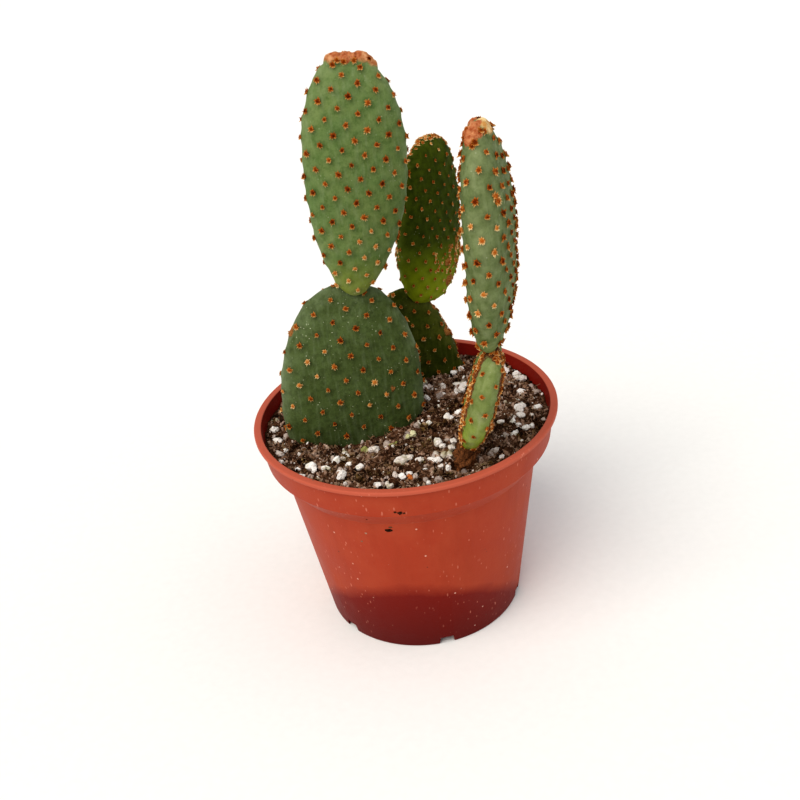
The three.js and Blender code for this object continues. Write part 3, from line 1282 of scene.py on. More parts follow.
    def cork_weights(self, local: np.ndarray, along: np.ndarray, angle: np.ndarray) -> np.ndarray:
        """Where cork covers the skin: over old wounds, and under some rows of tufts.

        Args:
            local: the skin in the pad's own frame, in millimetres.
            along: share of the height of each of its points.
            angle: where they lie round the pad, in radians.
        Returns:
            One value per point, 0 to 1.
        """
        weight = self.spot_weights(local, self.shape.scars)
        for fringe in self.shape.fringes:
            off = np.abs((np.degrees(angle) - fringe.around + 180) % 360 - 180)
            row = fringe.cork * np.exp(-((off / fringe.spread) ** 2))
            weight = np.maximum(weight, row * (along > fringe.low) * (along < fringe.high))
        return weight

    def build_skin(self) -> Object:
        """Grows the skin, with its mounds, buds and stalk.

        Returns:
            The undressed piece, with the attributes that its material reads.
        """
        s = self.shape
        ring = np.arange(1, self.rings + 1)
        along = np.repeat(0.5 - 0.5 * np.cos(math.pi * ring / (self.rings + 1)), self.steps)
        angle = np.tile(turns_of(self.steps), self.rings)
        local = np.vstack([[[0, 0, 0]], self.local_points(along, angle), [[0, 0, s.length]]])
        along = np.concatenate([[0], along, [1]])
        angle = np.concatenate([[0], angle, [0]])
        faces = ring_faces(self.rings, self.steps)
        bare = mesh_object(f"{s.node}_bare", local, faces)
        outward = normals_of(bare.data)
        bpy.data.objects.remove(bare)

        # Each tuft sits on a low mound, and the skin between them wanders.
        nearest = np.full(len(local), np.inf)
        for seat in self.local_points(*self.areoles()):
            nearest = np.minimum(nearest, np.linalg.norm(local - seat, axis=1))
        mounds = self.mound * np.exp(-((nearest / self.mound_radius) ** 2))
        drift = self.wander * lumps(local, 11, 2, s.seed) + 0.1 * lumps(local, 3.2, 2, s.seed + 1)
        fade = np.minimum(1, self.girth_at(along)[1] / 2.0)
        scar = self.cork_weights(local, along, angle)
        crust = self.crust * scar * np.clip(lumps(local, 1.1, 2, s.seed + 2) + 0.5, 0, 1)
        swell, bud, wool = self.swellings(local, outward)
        points = local + outward * ((mounds + drift) * fade + crust)[:, None] + swell

        through = np.abs(local[:, 1] + s.bow * np.sin(math.pi * along))
        attributes = {
            "rise": along,
            "rim": np.clip(1 - through / (0.8 * s.half_thickness), 0, 1) ** 1.5,
            "halo": np.exp(-((nearest / self.halo_radius) ** 2)),
            "scar": scar,
            "bud": bud,
            "wool": wool,
        }
        if s.stalk:
            stem, stem_faces = self.stalk_skin(s.stalk, len(points))
            points = np.vstack([points, stem])
            faces = faces + stem_faces
            for name, values in attributes.items():
                value = 1.0 if name == "scar" else 0.0
                attributes[name] = np.concatenate([values, np.full(len(stem), value)])
        piece = mesh_object(f"{s.node}_skin", self.to_row(points) * MM, faces)
        for name, values in attributes.items():
            set_attribute(piece.data, name, values)
        return piece

    def swellings(
        self, local: np.ndarray, outward: np.ndarray
    ) -> tuple[np.ndarray, np.ndarray, np.ndarray]:
        """How far the buds push the skin out; where two meet, the higher one counts.

        Args:
            local: the skin in the pad's own frame.
            outward: its normals.
        Returns:
            A shift for each row, and how much of it is bud and how much is woolly mound.
        """
        smooth, woolly = np.zeros(len(local)), np.zeros(len(local))
        swell = np.zeros_like(local)
        for bud in self.shape.buds:
            shift = self.bud_swell(local, outward, bud)
            far = np.linalg.norm(shift, axis=1)
            reached = woolly if bud.woolly else smooth
            np.maximum(reached, far / (0.85 * bud.radius), out=reached)
            higher = far > np.linalg.norm(swell, axis=1)
            swell[higher] = shift[higher]
        return swell, smooth, woolly

    def bud_swell(self, local: np.ndarray, outward: np.ndarray, bud: Bud) -> np.ndarray:
        """How far a bud pushes the skin out.

        Args:
            local: the skin in the pad's own frame.
            outward: its normals.
            bud: the bud.
        Returns:
            A shift for each row.
        """
        centre = self.local_points(np.array([bud.along]), np.array([math.radians(bud.around)]))[0]
        away = np.linalg.norm(local - centre, axis=1)
        near = away < bud.radius * 1.3
        way = outward[near].mean(axis=0)
        way /= np.linalg.norm(way)
        dome = np.sqrt(np.clip(1 - (away / (1.25 * bud.radius)) ** 2, 0, 1))
        depth, width = bud.unevenness
        dome *= 1 + depth * lumps(local, width, 2, self.shape.seed + bud.radius)
        return np.outer(0.8 * bud.radius * dome, way)

    def stalk_skin(self, stalk: Stalk, start: int) -> tuple[np.ndarray, list[list[int]]]:
        """The corky stem under the pad.

        Args:
            stalk: its sizes.
            start: number of its first point in the piece.
        Returns:
            Its points in the pad's own frame, and its faces.
        """
        height = np.repeat(np.linspace(-stalk.length, stalk.root, stalk.rings), stalk.steps)
        angle = np.tile(turns_of(stalk.steps), stalk.rings)
        reach = stalk.radius + stalk.flare * np.clip(-height / stalk.length, 0, 1)
        points = np.column_stack([reach * np.cos(angle), reach * np.sin(angle), height])
        # The bark's ridges are drawn out along the stem.
        bark = lumps(points * np.array([1, 1, 0.6]), 1.3, 3, self.shape.seed + 4)
        points[:, :2] *= (1 + stalk.rough * bark)[:, None]
        points = np.vstack([[[0, 0, -stalk.length]], points, [[0, 0, stalk.root]]])
        return points, ring_faces(stalk.rings, stalk.steps, start + 1)

    def build_tufts(
        self,
        skin: Object,
        neighbours: list["Pad"],
        tree: NodeTree,
        patterns: Collection,
        bristle: Material,
    ) -> Object:
        """Stands a tuft on every areole that is in the open.

        Args:
            skin: the finished skin, which the tufts sit on.
            neighbours: the other pads, which hide some areoles.
            tree: the geometry tree that plants patterns.
            patterns: the pincushions.
            bristle: their material.
        Returns:
            The undressed piece.
        """
        s = self.shape
        rng = np.random.default_rng(s.seed)
        local = self.local_points(*self.areoles())
        planted = []
        for seat, cream in zip(self.to_row(local), self.spot_weights(local, s.cream_tufts)):
            kind = TuftTone.ORANGE if rng.random() > 0.55 else TuftTone.RUST
            if cream > 0.4 + 0.4 * rng.random():
                kind = TuftTone.CREAM
            radius = s.tuft_radius * (0.8 + 0.36 * rng.random())
            tone = kind.value + s.tuft_tone + 0.12 * (rng.random() - 0.5)
            planted.append((seat, radius, tone))
        planted += self.crowded_tufts(rng)
        corners = [vertex.co for vertex in skin.data.vertices]
        surface = BVHTree.FromPolygons(corners, [list(face.vertices) for face in skin.data.polygons])
        up_pad = Vector(np.array(self.placement)[:3, 2])
        seats = []
        for seat, radius, tone in planted:
            hidden = any(pad.holds(seat[None, :], self.tuft_gap)[0] for pad in neighbours)
            if hidden or seat[2] < soil_height(seat[0], seat[1]) + self.tuft_over_mix:
                continue
            found, normal = surface.find_nearest(Vector(seat) * MM)[:2]
            rightward = up_pad.cross(normal)
            if rightward.length < 0.05:
                rightward = Vector((1, 0, 0))
            rightward.normalize()
            basis = Matrix((rightward, normal.cross(rightward), normal)).transposed()
            place = tuple(found - normal * self.tuft_sink * MM)
            seats.append(Seat(place, tuple(basis.to_euler()), radius * MM, tone))
        return plant(f"{s.node}_tufts", seats, tree, patterns, s.seed, bristle)

    def crowded_tufts(self, rng: np.random.Generator) -> list[tuple[np.ndarray, float, float]]:
        """Tufts outside the spirals: woolly ones, crowded rows and those over the tip.

        Args:
            rng: the pad's random draw.
        Returns:
            For each, its seat in millimetres, its radius and its tone.
        """
        s = self.shape
        local, sizes, tones = [], [], []

        def add(along: float, around: float, radius: float, tone: float) -> None:
            """Adds a tuft at a share of the height and an angle in degrees."""
            local.append(self.local_points(np.array([along]), np.array([math.radians(around)]))[0])
            sizes.append(radius)
            tones.append(tone)

        for spot in s.wool:
            add(spot.along, spot.around, spot.radius, spot.strength)
        for fringe in s.fringes:
            for step in range(fringe.count):
                share = (step + rng.random()) / fringe.count
                radius = fringe.radius * (0.7 + 0.6 * rng.random())
                tone = fringe.tone + 0.3 * (rng.random() - 0.4)
                along = fringe.low + (fringe.high - fringe.low) * share
                add(along, fringe.around + 0.8 * fringe.spread * (rng.random() - 0.5), radius, tone)
        if s.crown:
            for row in range(s.crown.rows):
                for step in range(s.crown.count):
                    wide = s.crown.right - s.crown.left
                    share = s.crown.left + wide * (step + 0.8 * rng.random()) / s.crown.count
                    depth = (row + rng.random()) / s.crown.rows - 0.5
                    across = 1.6 * depth * s.half_thickness - s.bow
                    height = s.length + s.crown.height - s.crown.droop * share**2
                    local.append(np.array([share * s.half_width, across, height]))
                    sizes.append(s.crown.radius * (0.75 + 0.5 * rng.random()))
                    kind = TuftTone.CREAM if rng.random() < s.crown.cream else TuftTone.ORANGE
                    tones.append(kind.value + 0.1 * rng.random())
        seats = [self.to_row(spot[None, :])[0] for spot in local]
        return list(zip(seats, sizes, tones))


# ------------------------------------------------------------------ mix
SOIL_LEVEL = 69.4


@dataclass(frozen=True)
class Swell:
    """A heap of the mix, or a hollow where its height is below zero, in millimetres.

    wide and deep are the squares of its reach along X and Y.
    """

    x: float
    y: float
    height: float
    wide: float
    deep: float


HEAP_AND_HOLLOWS = (
    Swell(-6, 8, 1.2, 500, 500),
    Swell(18, -31, -2.4, 70, 70),
    Swell(-15, -11, -4.4, 300, 40),
)


def soil_height(x: float, y: float) -> float:
    """Height of the mix: heaped between the stems, hollow at the foot of two of them, and lumpy.

    Args:
        x: place to the right, in millimetres.
        y: place to the back, in millimetres.
    Returns:
        The height in millimetres.
    """
    wave = 0.6 * math.sin(0.43 * x + 1.3) * math.sin(0.39 * y - 0.4) + 0.35 * math.sin(0.9 * x - 0.7 * y)
    swells = sum(
        swell.height * math.exp(-((x - swell.x) ** 2 / swell.wide + (y - swell.y) ** 2 / swell.deep))
        for swell in HEAP_AND_HOLLOWS
    )
    return SOIL_LEVEL + swells + wave


class GrainKind(Enum):
    """What the mix holds."""

    CRUMB = "peat_crumbs"
    FINES = "peat_fines"
    PERLITE = "perlite_grains"
    FIBRE = "root_fibres"


class Tint(Enum):
    """What a grain that stands out is made of."""

    PALE = "perlite"
    MOSSY = "mossy_perlite"
    BARK = "bark_chip"


@dataclass(frozen=True)
class LargeGrain:
    """A grain that stands out.

    Place, radius and lift off the mix are in millimetres, and heading is in degrees.
    """

    x: float
    y: float
    radius: float
    heading: float = 0.0
    tone: float = 0.8
    tint: Tint = Tint.PALE
    lift: float = 0.0


# Where the grains that stand out lie: the values of one LargeGrain for each.
LARGE_GRAINS = (
    (-31.2, -24.9, 1.6, 20, 0.9), (-30.0, -26.4, 1.2, 80, 0.85), (-21.6, -31.4, 1.6, 60, 0.8),
    (-22.0, -28.6, 1.2, 0, 0.75), (-21.0, -13.6, 1.2, 30, 0.85), (-16.0, -28.0, 1.3, 30, 0.8),
    (-19.1, -24.6, 0.9, 30, 0.85), (-11.4, -17.1, 1.7, 10, 0.62),
    (-14.6, -13.6, 1.3, 40, 0.4, Tint.MOSSY), (-13.0, -14.6, 1.3, 0, 0.8, Tint.MOSSY),
    (-5.2, -12.4, 1.2, 0, 0.5, Tint.MOSSY), (-3.6, -11.6, 0.9, 0, 0.35, Tint.MOSSY),
    (1.6, -10.8, 1.2, 60, 0.9, Tint.MOSSY), (-0.2, -11.8, 0.9, 60, 0.8, Tint.MOSSY),
    (-2.6, -26.8, 1.9, 15, 0.62), (-0.7, -26.2, 1.4, 5, 0.62), (2.6, -28.0, 1.1, 0, 0.7),
    (-3.5, -35.8, 1.2, -20, 0.9), (-1.2, -33.6, 1.0, 0, 0.8),
    (-1.2, -35.8, 1.2, 90, 0.7, Tint.BARK), (9.0, -19.7, 1.6, 70, 0.75),
    (10.2, -20.8, 1.1, 0, 0.7), (7.8, -28.2, 1.3, 0, 0.8), (6.2, -26.9, 1.1, 0, 0.75),
    (10.7, -32.9, 1.1, 80, 0.8), (12.0, -25.4, 1.25, 80, 0.66),
    (12.8, -24.6, 1.2, 80, 0.62, Tint.PALE, 2.0), (13.6, -23.8, 1.1, 80, 0.66, Tint.PALE, 3.9),
    (7.2, -6.0, 0.9, 0, 0.9), (3.6, -6.1, 0.8, 0, 0.9), (26.3, -26.2, 1.3, 10, 0.5),
    (30.1, -11.6, 1.0, 0, 0.7), (33.4, -19.6, 1.3, 0, 0.9), (37.2, -5.9, 1.7, 70, 0.6),
    (38.0, -3.4, 1.4, 20, 0.65), (37.1, -8.4, 1.2, 0, 0.7), (43.5, -3.7, 1.3, 0, 0.85),
    (37.2, -17.8, 1.1, 0, 0.85), (18.9, 26.5, 1.2, 0, 0.9), (20.2, 12.3, 1.7, 60, 0.6),
    (21.2, 14.8, 1.4, 60, 0.65), (37.0, 22.9, 1.8, 80, 0.75), (36.2, 25.4, 1.5, 80, 0.75),
    (41.4, 15.3, 1.5, 0, 0.65), (40.2, 19.7, 1.4, 0, 0.8), (34.9, 28.2, 1.1, 0, 0.9),
    (17.3, -1.5, 1.1, 0, 0.85), (-40.0, -11.6, 0.9, 30, 0.85), (-43.9, 1.4, 1.3, 30, 0.85),
    (-42.6, -5.2, 1.3, 0, 0.8),
)


@dataclass(frozen=True)
class LumpPattern:
    """An uneven ball of about unit radius: a crumb or a grain."""

    level: int  # how finely the ball is divided
    rough: float
    stretch: tuple[float, float, float]  # half length, half width and half height
    bump_size: float = 0.8

    def build(self, name: str, seed: int) -> Object:
        """Models one of them.

        Args:
            name: its name.
            seed: draws its shape.
        Returns:
            The pattern.
        """
        bpy.ops.mesh.primitive_ico_sphere_add(subdivisions=self.level, radius=1)
        pattern = bpy.context.object
        pattern.name = name
        points = points_of(pattern.data)
        bumps = 1 + self.rough * lumps(points, self.bump_size, 2, seed)
        move_points(pattern.data, points * bumps[:, None] * np.array(self.stretch))
        return pattern


@dataclass(frozen=True)
class ChipPattern:
    """An eight-sided chip of peat, unit sized."""

    stretch: tuple[float, float, float] = (1.3, 0.6, 0.45)  # half length, half width and half height
    shortest: float = 0.6  # least reach of a corner, as a share of the stretch
    spread: float = 0.8  # how much farther it may reach
    slant: float = 0.2  # how far the top may lie off the middle

    def build(self, name: str, seed: int) -> Object:
        """Models one of them.

        Args:
            name: its name.
            seed: draws its shape.
        Returns:
            The pattern.
        """
        rng = np.random.default_rng(seed)
        ways = [(1, 0, 0), (0, 1, 0), (-1, 0, 0), (0, -1, 0)]
        stretch = np.array(self.stretch)
        ring = [np.array(way) * stretch * (self.shortest + self.spread * rng.random()) for way in ways]
        high = self.stretch[2]
        points = np.vstack([[[0, 0, -high]], ring, [[self.slant * rng.random(), 0, high]]])
        return mesh_object(name, points, ring_faces(1, len(ways)), smooth=False)


@dataclass(frozen=True)
class FibrePattern:
    """A bent root fibre of unit length."""

    steps: int = 5
    sides: int = 3
    radius: float = 0.013
    most_bend: float = 0.25
    lift: float = 0.12
    arch: float = 0.3
    arch_turn: float = 2.4  # radians of a sine from end to end, so that the far end stays up

    def build(self, name: str, seed: int) -> Object:
        """Models one of them.

        Args:
            name: its name.
            seed: draws its bends.
        Returns:
            The pattern.
        """
        rng = np.random.default_rng(seed)
        sideways, upward = rng.uniform(-self.most_bend, self.most_bend, 2)
        along = np.linspace(0, 1, self.steps)
        height = self.lift + self.arch * abs(upward) * np.sin(self.arch_turn * along)
        spine = np.column_stack([along - 0.5, sideways * np.sin(math.pi * along), height])
        turns = turns_of(self.sides)
        around = self.radius * np.column_stack([0 * turns, np.cos(turns), np.sin(turns)])
        rings = [spot + around for spot in spine]
        points = np.vstack([spine[:1], *rings, spine[-1:]])
        return mesh_object(name, points, ring_faces(self.steps, self.sides), smooth=False)


GrainPattern = LumpPattern | ChipPattern | FibrePattern


def variants(pattern: GrainPattern, name: str, count: int, seed: int) -> list[Object]:
    """Models some shapes of one pattern.

    Args:
        pattern: what they follow.
        name: what they are named after.
        count: how many there are.
        seed: draws the first, and the next ones have the seeds after it.
    Returns:
        The shapes.
    """
    return [pattern.build(f"{name}_{i}", seed + i) for i in range(count)]


@dataclass(frozen=True)
class Strewn:
    """How one kind of grain is strewn over the mix."""

    name: str
    pattern: GrainPattern
    count: int  # how many shapes it comes in
    seed: int
    density: float  # grains to the square metre
    least: float  # the smallest and the largest, in millimetres
    most: float
    tumble: float = math.pi  # how far a grain may tip over, in radians


CRUMBS = LumpPattern(level=1, rough=0.7, stretch=(1.25, 0.7, 0.55))
PERLITE_LUMPS = LumpPattern(level=2, rough=0.4, stretch=(1.1, 0.85, 0.75))
LARGE_LUMPS = LumpPattern(level=3, rough=0.42, stretch=(1.1, 0.85, 0.8))
FLECKS = LumpPattern(level=2, rough=0.7, stretch=(1.0, 0.7, 0.35))

STREWN = {
    GrainKind.CRUMB: Strewn("crumb", CRUMBS, 8, 40, density=1.25e6, least=0.25, most=1.25),
    GrainKind.FINES: Strewn("chip", ChipPattern(), 6, 50, density=2.8e6, least=0.18, most=0.6),
    GrainKind.PERLITE: Strewn("perlite", PERLITE_LUMPS, 6, 60, density=0.085e6, least=0.35, most=1.7),
    GrainKind.FIBRE: Strewn(
        "fibre", FibrePattern(), 6, 80, density=0.42e6, least=1.4, most=6.5, tumble=0.5
    ),
}


@dataclass
class PottingMix:
    """Peat and perlite that fill the pot."""

    edge_radius: float = 47.0
    foot_radius: float = 32.4
    floor: float = 4.4
    waist_radius: float = 40.6
    waist: float = 57.2
    rings: int = 120
    steps: int = 260
    body_tone: float = 0.3
    field_share: float = 0.985  # how far out grains are strewn, as a share of the radius
    grain_stand: float = 0.45  # how far a large grain's middle stands out, as a share of its radius
    grain_tip: tuple[float, float] = (0.2, 0.1)  # radians that it is tipped about X and about Y
    seed: int = 11
    large_grains: tuple[LargeGrain, ...] = tuple(LargeGrain(*row) for row in LARGE_GRAINS)

    def surface_points(self) -> np.ndarray:
        """The crumbly top, ring by ring from the wall to the middle.

        Returns:
            Rows in millimetres.
        """
        radius = np.repeat(self.edge_radius * np.linspace(1, 1 / self.rings, self.rings), self.steps)
        angle = np.tile(turns_of(self.steps), self.rings)
        x, y = radius * np.cos(angle), radius * np.sin(angle)
        z = np.array([soil_height(a, b) for a, b in zip(x, y)])
        flat = np.column_stack([x, y, 0 * x])
        z += 0.6 * lumps(flat, 4.2, 3, 1.0) + 0.4 * lumps(flat, 1.5, 2, 2.0)
        return np.column_stack([x, y, z])

    def build_body(self) -> Object:
        """The closed body of the mix, from the pot's floor to its crumbly top."""
        wall = [(self.foot_radius, self.floor), (self.waist_radius, self.waist)]
        below = [circle(radius, height, self.steps) for radius, height in wall]
        top = self.surface_points()
        points = np.vstack([[[0, 0, self.floor]], *below, top, [[0, 0, soil_height(0, 0)]]])
        return mesh_object("mix_body", points * MM, ring_faces(len(wall) + self.rings, self.steps))

    def build_field(self) -> Object:
        """The open top alone, a little inside the wall, which grains are strewn on."""
        points = self.surface_points()
        # The first and last fans of a closed skin are left away, and what remains is open.
        closed = ring_faces(self.rings, self.steps, 0)
        faces = [face for face in closed if len(face) == 4]
        inside = points * np.array([self.field_share, self.field_share, 1.0])
        return mesh_object("mix_field", inside * MM, faces)

    def build_grains(self, kind: GrainKind, tree: NodeTree, finish: Material) -> Object:
        """Strews one kind of grain over the mix.

        Args:
            kind: what to strew.
            tree: the geometry tree that strews.
            finish: its material.
        Returns:
            The undressed piece.
        """
        strewn = STREWN[kind]
        shapes = variants(strewn.pattern, strewn.name, strewn.count, strewn.seed)
        values = {
            "Density": strewn.density,
            "Least": strewn.least * MM,
            "Most": strewn.most * MM,
            "Tumble": strewn.tumble,
        }
        values["Patterns"] = pattern_collection(f"{kind.value}_patterns", shapes)
        values["Seed"] = self.seed + len(kind.value)
        values["Finish"] = finish
        return grow(kind.value, self.build_field(), tree, values)

    def build_large_grains(self, tint: Tint, tree: NodeTree, finish: Material) -> Object:
        """Sets the grains that stand out.

        Args:
            tint: which of them.
            tree: the geometry tree that plants patterns.
            finish: their material.
        Returns:
            The undressed piece.
        """
        shapes = variants(LARGE_LUMPS, f"large_{tint.value}", 6, 90)
        seats = []
        for grain in self.large_grains:
            if grain.tint is tint:
                height = soil_height(grain.x, grain.y) + self.grain_stand * grain.radius + grain.lift
                place = (grain.x * MM, grain.y * MM, height * MM)
                turn = (*self.grain_tip, math.radians(grain.heading))
                seats.append(Seat(place, turn, grain.radius * MM, grain.tone))
        patterns = pattern_collection(f"large_{tint.value}", shapes)
        return plant(f"large_{tint.value}_grains", seats, tree, patterns, self.seed, finish)


# ------------------------------------------------------------------ pot
@dataclass
class NurseryPot:
    """Thin round nursery pot with a rolled lip, a flared collar and drain holes."""

    rim_radius: float = 50.0
    height: float = 74.0
    foot_radius: float = 34.0
    wall: float = 1.2
    lip_height: float = 1.4
    collar_top_radius: float = 48.8
    collar_foot: tuple[float, float] = (47.4, 63.6)
    body_top: tuple[float, float] = (42.3, 57.2)
    foot_ring_inner: float = 27.0
    floor_rise: float = 2.6
    floor_rise_radius: float = 23.5
    drain_count: int = 6
    drain_radius: float = 3.2
    drain_circle: float = 32.0
    drain_height: float = 2.9
    first_drain: float = -82.0
    steps: int = 224
    drain_sides: int = 40
    sharp_angle: float = 38.0
    # Rubbed places of the wall: degrees round it, height and reach.
    rubs: tuple[tuple[float, float, float], ...] = (
        (-88, 25, 6),
        (-76, 12, 7),
        (-36, 38, 8),
        (-31, 28, 6),
        (-128, 45, 9),
    )
    # Crumbs that stick to the wall: degrees round it, height, radius and tone.
    flecks: tuple[tuple[float, float, float, float], ...] = (
        (-96.3, 65.2, 0.85, 0.1),
        (-98.0, 65.6, 0.5, 0.2),
        (-94.9, 65.0, 0.45, 0.15),
        (-102.9, 54.6, 0.95, 0.15),
        (-102.0, 55.9, 0.5, 0.5),
        (-113.4, 52.6, 0.45, 0.75),
        (-116.5, 48.7, 0.4, 0.5),
        (-110.0, 60.9, 0.3, 0.3),
    )

    def outline(self) -> np.ndarray:
        """The pot's section from the middle of its underside round its lip to the middle of its floor."""
        lip_bottom = self.height - self.lip_height
        wall = self.wall
        (collar_r, collar_z), (body_r, body_z) = self.collar_foot, self.body_top
        corners = [
            Corner(0, self.floor_rise),
            Corner(self.floor_rise_radius, self.floor_rise, 0.9),
            Corner(self.foot_ring_inner, 0, 0.9),
            Corner(self.foot_radius, 0, 0.7),
            Corner(body_r, body_z, 1.6),
            Corner(collar_r, collar_z, 0.7),
            Corner(self.collar_top_radius, lip_bottom, 0.35),
            Corner(self.rim_radius, lip_bottom, 0.45),
            Corner(self.rim_radius, self.height, 0.55),
            Corner(self.collar_top_radius - wall, self.height, 0.5),
            Corner(collar_r - wall, collar_z, 1.0),
            Corner(body_r - wall, body_z, 1.6),
            Corner(self.foot_radius - wall, wall, 0.8),
            Corner(self.foot_ring_inner, wall, 0.6),
            Corner(self.floor_rise_radius, self.floor_rise + wall, 0.6),
            Corner(0, self.floor_rise + wall),
        ]
        return rounded_outline(corners)

    def build_flecks(self, tree: NodeTree, finish: Material) -> Object:
        """Dried crumbs of mix that stick to the outside of the wall.

        Args:
            tree: the geometry tree that plants patterns.
            finish: their material.
        Returns:
            The undressed piece.
        """
        shapes = variants(FLECKS, "fleck", 4, 30)
        seats = []
        for degrees, height, radius, tone in self.flecks:
            angle = math.radians(degrees)
            reach = self.outer_radius(height)
            place = (reach * math.cos(angle) * MM, reach * math.sin(angle) * MM, height * MM)
            out = Vector((math.cos(angle), math.sin(angle), -0.12))
            turn = tuple(out.to_track_quat("Z", "Y").to_euler())
            seats.append(Seat(place, turn, radius * MM, tone))
        return plant("dried_mix_flecks", seats, tree, pattern_collection("flecks", shapes), 3, finish)

    def outer_radius(self, height: float | np.ndarray) -> float | np.ndarray:
        """Radius of the wall's outside at a height, in millimetres."""
        return np.interp(
            height,
            [0, self.body_top[1], self.collar_foot[1], self.height],
            [self.foot_radius, self.body_top[0], self.collar_foot[0], self.collar_top_radius],
        )

    def drain_cutter(self) -> Object:
        """Six upright plugs where the corner of floor and wall is cut away."""
        sides, points, faces = self.drain_sides, [], []
        for drain in range(self.drain_count):
            turn = math.radians(self.first_drain + 360 * drain / self.drain_count)
            centre = self.drain_circle * np.array([math.cos(turn), math.sin(turn), 0])
            low = len(points)
            high = low + sides
            for height in (-self.drain_height, self.drain_height):
                points += list(centre + circle(self.drain_radius, height, sides))
            faces += [list(range(high - 1, low - 1, -1)), list(range(high, high + sides))]
            for side in range(sides):
                after = (side + 1) % sides
                faces.append([low + side, low + after, high + after, high + side])
        return mesh_object("drain_plugs", np.array(points) * MM, faces, smooth=False)

    def build(self) -> Object:
        """Turns the pot and cuts its drain holes.

        Returns:
            The undressed piece, with the attributes inner and worn that its material reads.
        """
        points, faces = lathe(self.outline(), self.steps)
        shell = mesh_object("pot_shell_blank", points, faces)
        plugs = self.drain_cutter()
        cut = shell.modifiers.new("drains", "BOOLEAN")
        cut.object = plugs
        cut.solver = "EXACT"
        pot = keep_result("pot_shell", shell, cut)
        bpy.data.objects.remove(plugs)
        mesh = pot.data
        mesh.polygons.foreach_set("use_smooth", [True] * len(mesh.polygons))
        mesh.set_sharp_from_angle(angle=math.radians(self.sharp_angle))
        spots = points_of(mesh) / MM
        height = spots[:, 2]
        depth = self.outer_radius(height) - np.hypot(spots[:, 0], spots[:, 1])
        # What lies over half a millimetre inside the outer face is the inner wall, up to the lip's top.
        set_attribute(mesh, "inner", np.clip((depth - 0.5) / 0.5, 0, 1) * (height < self.height - 0.2))
        worn = np.zeros(len(spots))
        for degrees, level, reach in self.rubs:
            angle = math.radians(degrees)
            centre = self.outer_radius(level) * np.array([math.cos(angle), math.sin(angle)])
            away = np.hypot(np.linalg.norm(spots[:, :2] - centre, axis=1), height - level)
            worn = np.maximum(worn, np.exp(-((away / reach) ** 2)))
        set_attribute(mesh, "worn", worn)
        return pot


# ------------------------------------------------------------------ stage
@dataclass
class Studio:
    """Pale floor, soft light and the camera at the photograph's angle."""

    # Fitted to the circles of the pot's lip, collar and foot; eye in millimetres.
    eye: tuple[float, float, float] = (-1.219, -286.634, 237.119)
    right: tuple[float, float, float] = (0.99254615, -0.05964072, -0.10627851)
    up: tuple[float, float, float] = (0.12186934, 0.48573467, 0.865569)
    lens: float = 45.0
    sensor: float = 36.0
    floor_half: float = 2.5
    floor_rows: int = 9
    # Each lamp: where it shines from, its spread in degrees, its strength and its tint.
    lamps: tuple[tuple[tuple[float, float, float], float, float, str], ...] = (
        ((-0.45, -0.55, 0.85), 50.0, 2.1, "#fffaf2"),
        ((0.8, -0.25, 0.5), 70.0, 0.35, "#f4f7ff"),
    )
    sky_strength: float = 0.55

    def build_floor(self) -> Object:
        """The board that the pot stands on."""
        rows = self.floor_rows
        side = np.linspace(-self.floor_half, self.floor_half, rows)
        points = np.array([[x, y, 0.0] for y in side for x in side])
        faces = [
            [r * rows + c, r * rows + c + 1, (r + 1) * rows + c + 1, (r + 1) * rows + c]
            for r in range(rows - 1)
            for c in range(rows - 1)
        ]
        floor = mesh_object("studio_floor", points, faces)
        floor.data.materials.append(PaintedFloor().build())
        return floor

    def build_camera(self) -> Object:
        """The camera, placed and turned as the photograph's was."""
        data = bpy.data.cameras.new("studio_camera")
        data.lens, data.sensor_width = self.lens, self.sensor
        data.clip_start, data.clip_end = 0.01, 20.0
        camera = link_object("studio_camera", data)
        right, up = Vector(self.right), Vector(self.up)
        turn = Matrix((right, up, right.cross(up))).transposed()
        camera.matrix_world = Matrix.Translation(Vector(self.eye) * MM) @ turn.to_4x4()
        bpy.context.scene.camera = camera
        return camera

    def build_light(self) -> None:
        """Broad soft lamps and an even pale sky."""
        for number, (place, spread, strength, tint) in enumerate(self.lamps):
            data = bpy.data.lights.new(f"soft_lamp_{number}", "SUN")
            data.angle, data.energy = math.radians(spread), strength
            data.color = linear(tint)[:3]
            lamp = link_object(f"soft_lamp_{number}", data)
            lamp.location = place
            lamp.rotation_mode = "QUATERNION"
            lamp.rotation_quaternion = (-Vector(place)).to_track_quat("-Z", "Y")
        world = bpy.data.worlds.new("pale_sky")
        world.use_nodes = True
        bpy.context.scene.world = world
        sky = world.node_tree.nodes["Background"]
        sky.inputs["Color"].default_value = linear("#f3f5f8")
        sky.inputs["Strength"].default_value = self.sky_strength
        view = bpy.context.scene.view_settings
        view.view_transform = "Standard"
        view.look = "Medium High Contrast"

    def build(self) -> None:
        """Sets up floor, camera and light."""
        self.build_floor()
        self.build_camera()
        self.build_light()
        LOG.info("studio: floor, camera and %d lamps", len(self.lamps))


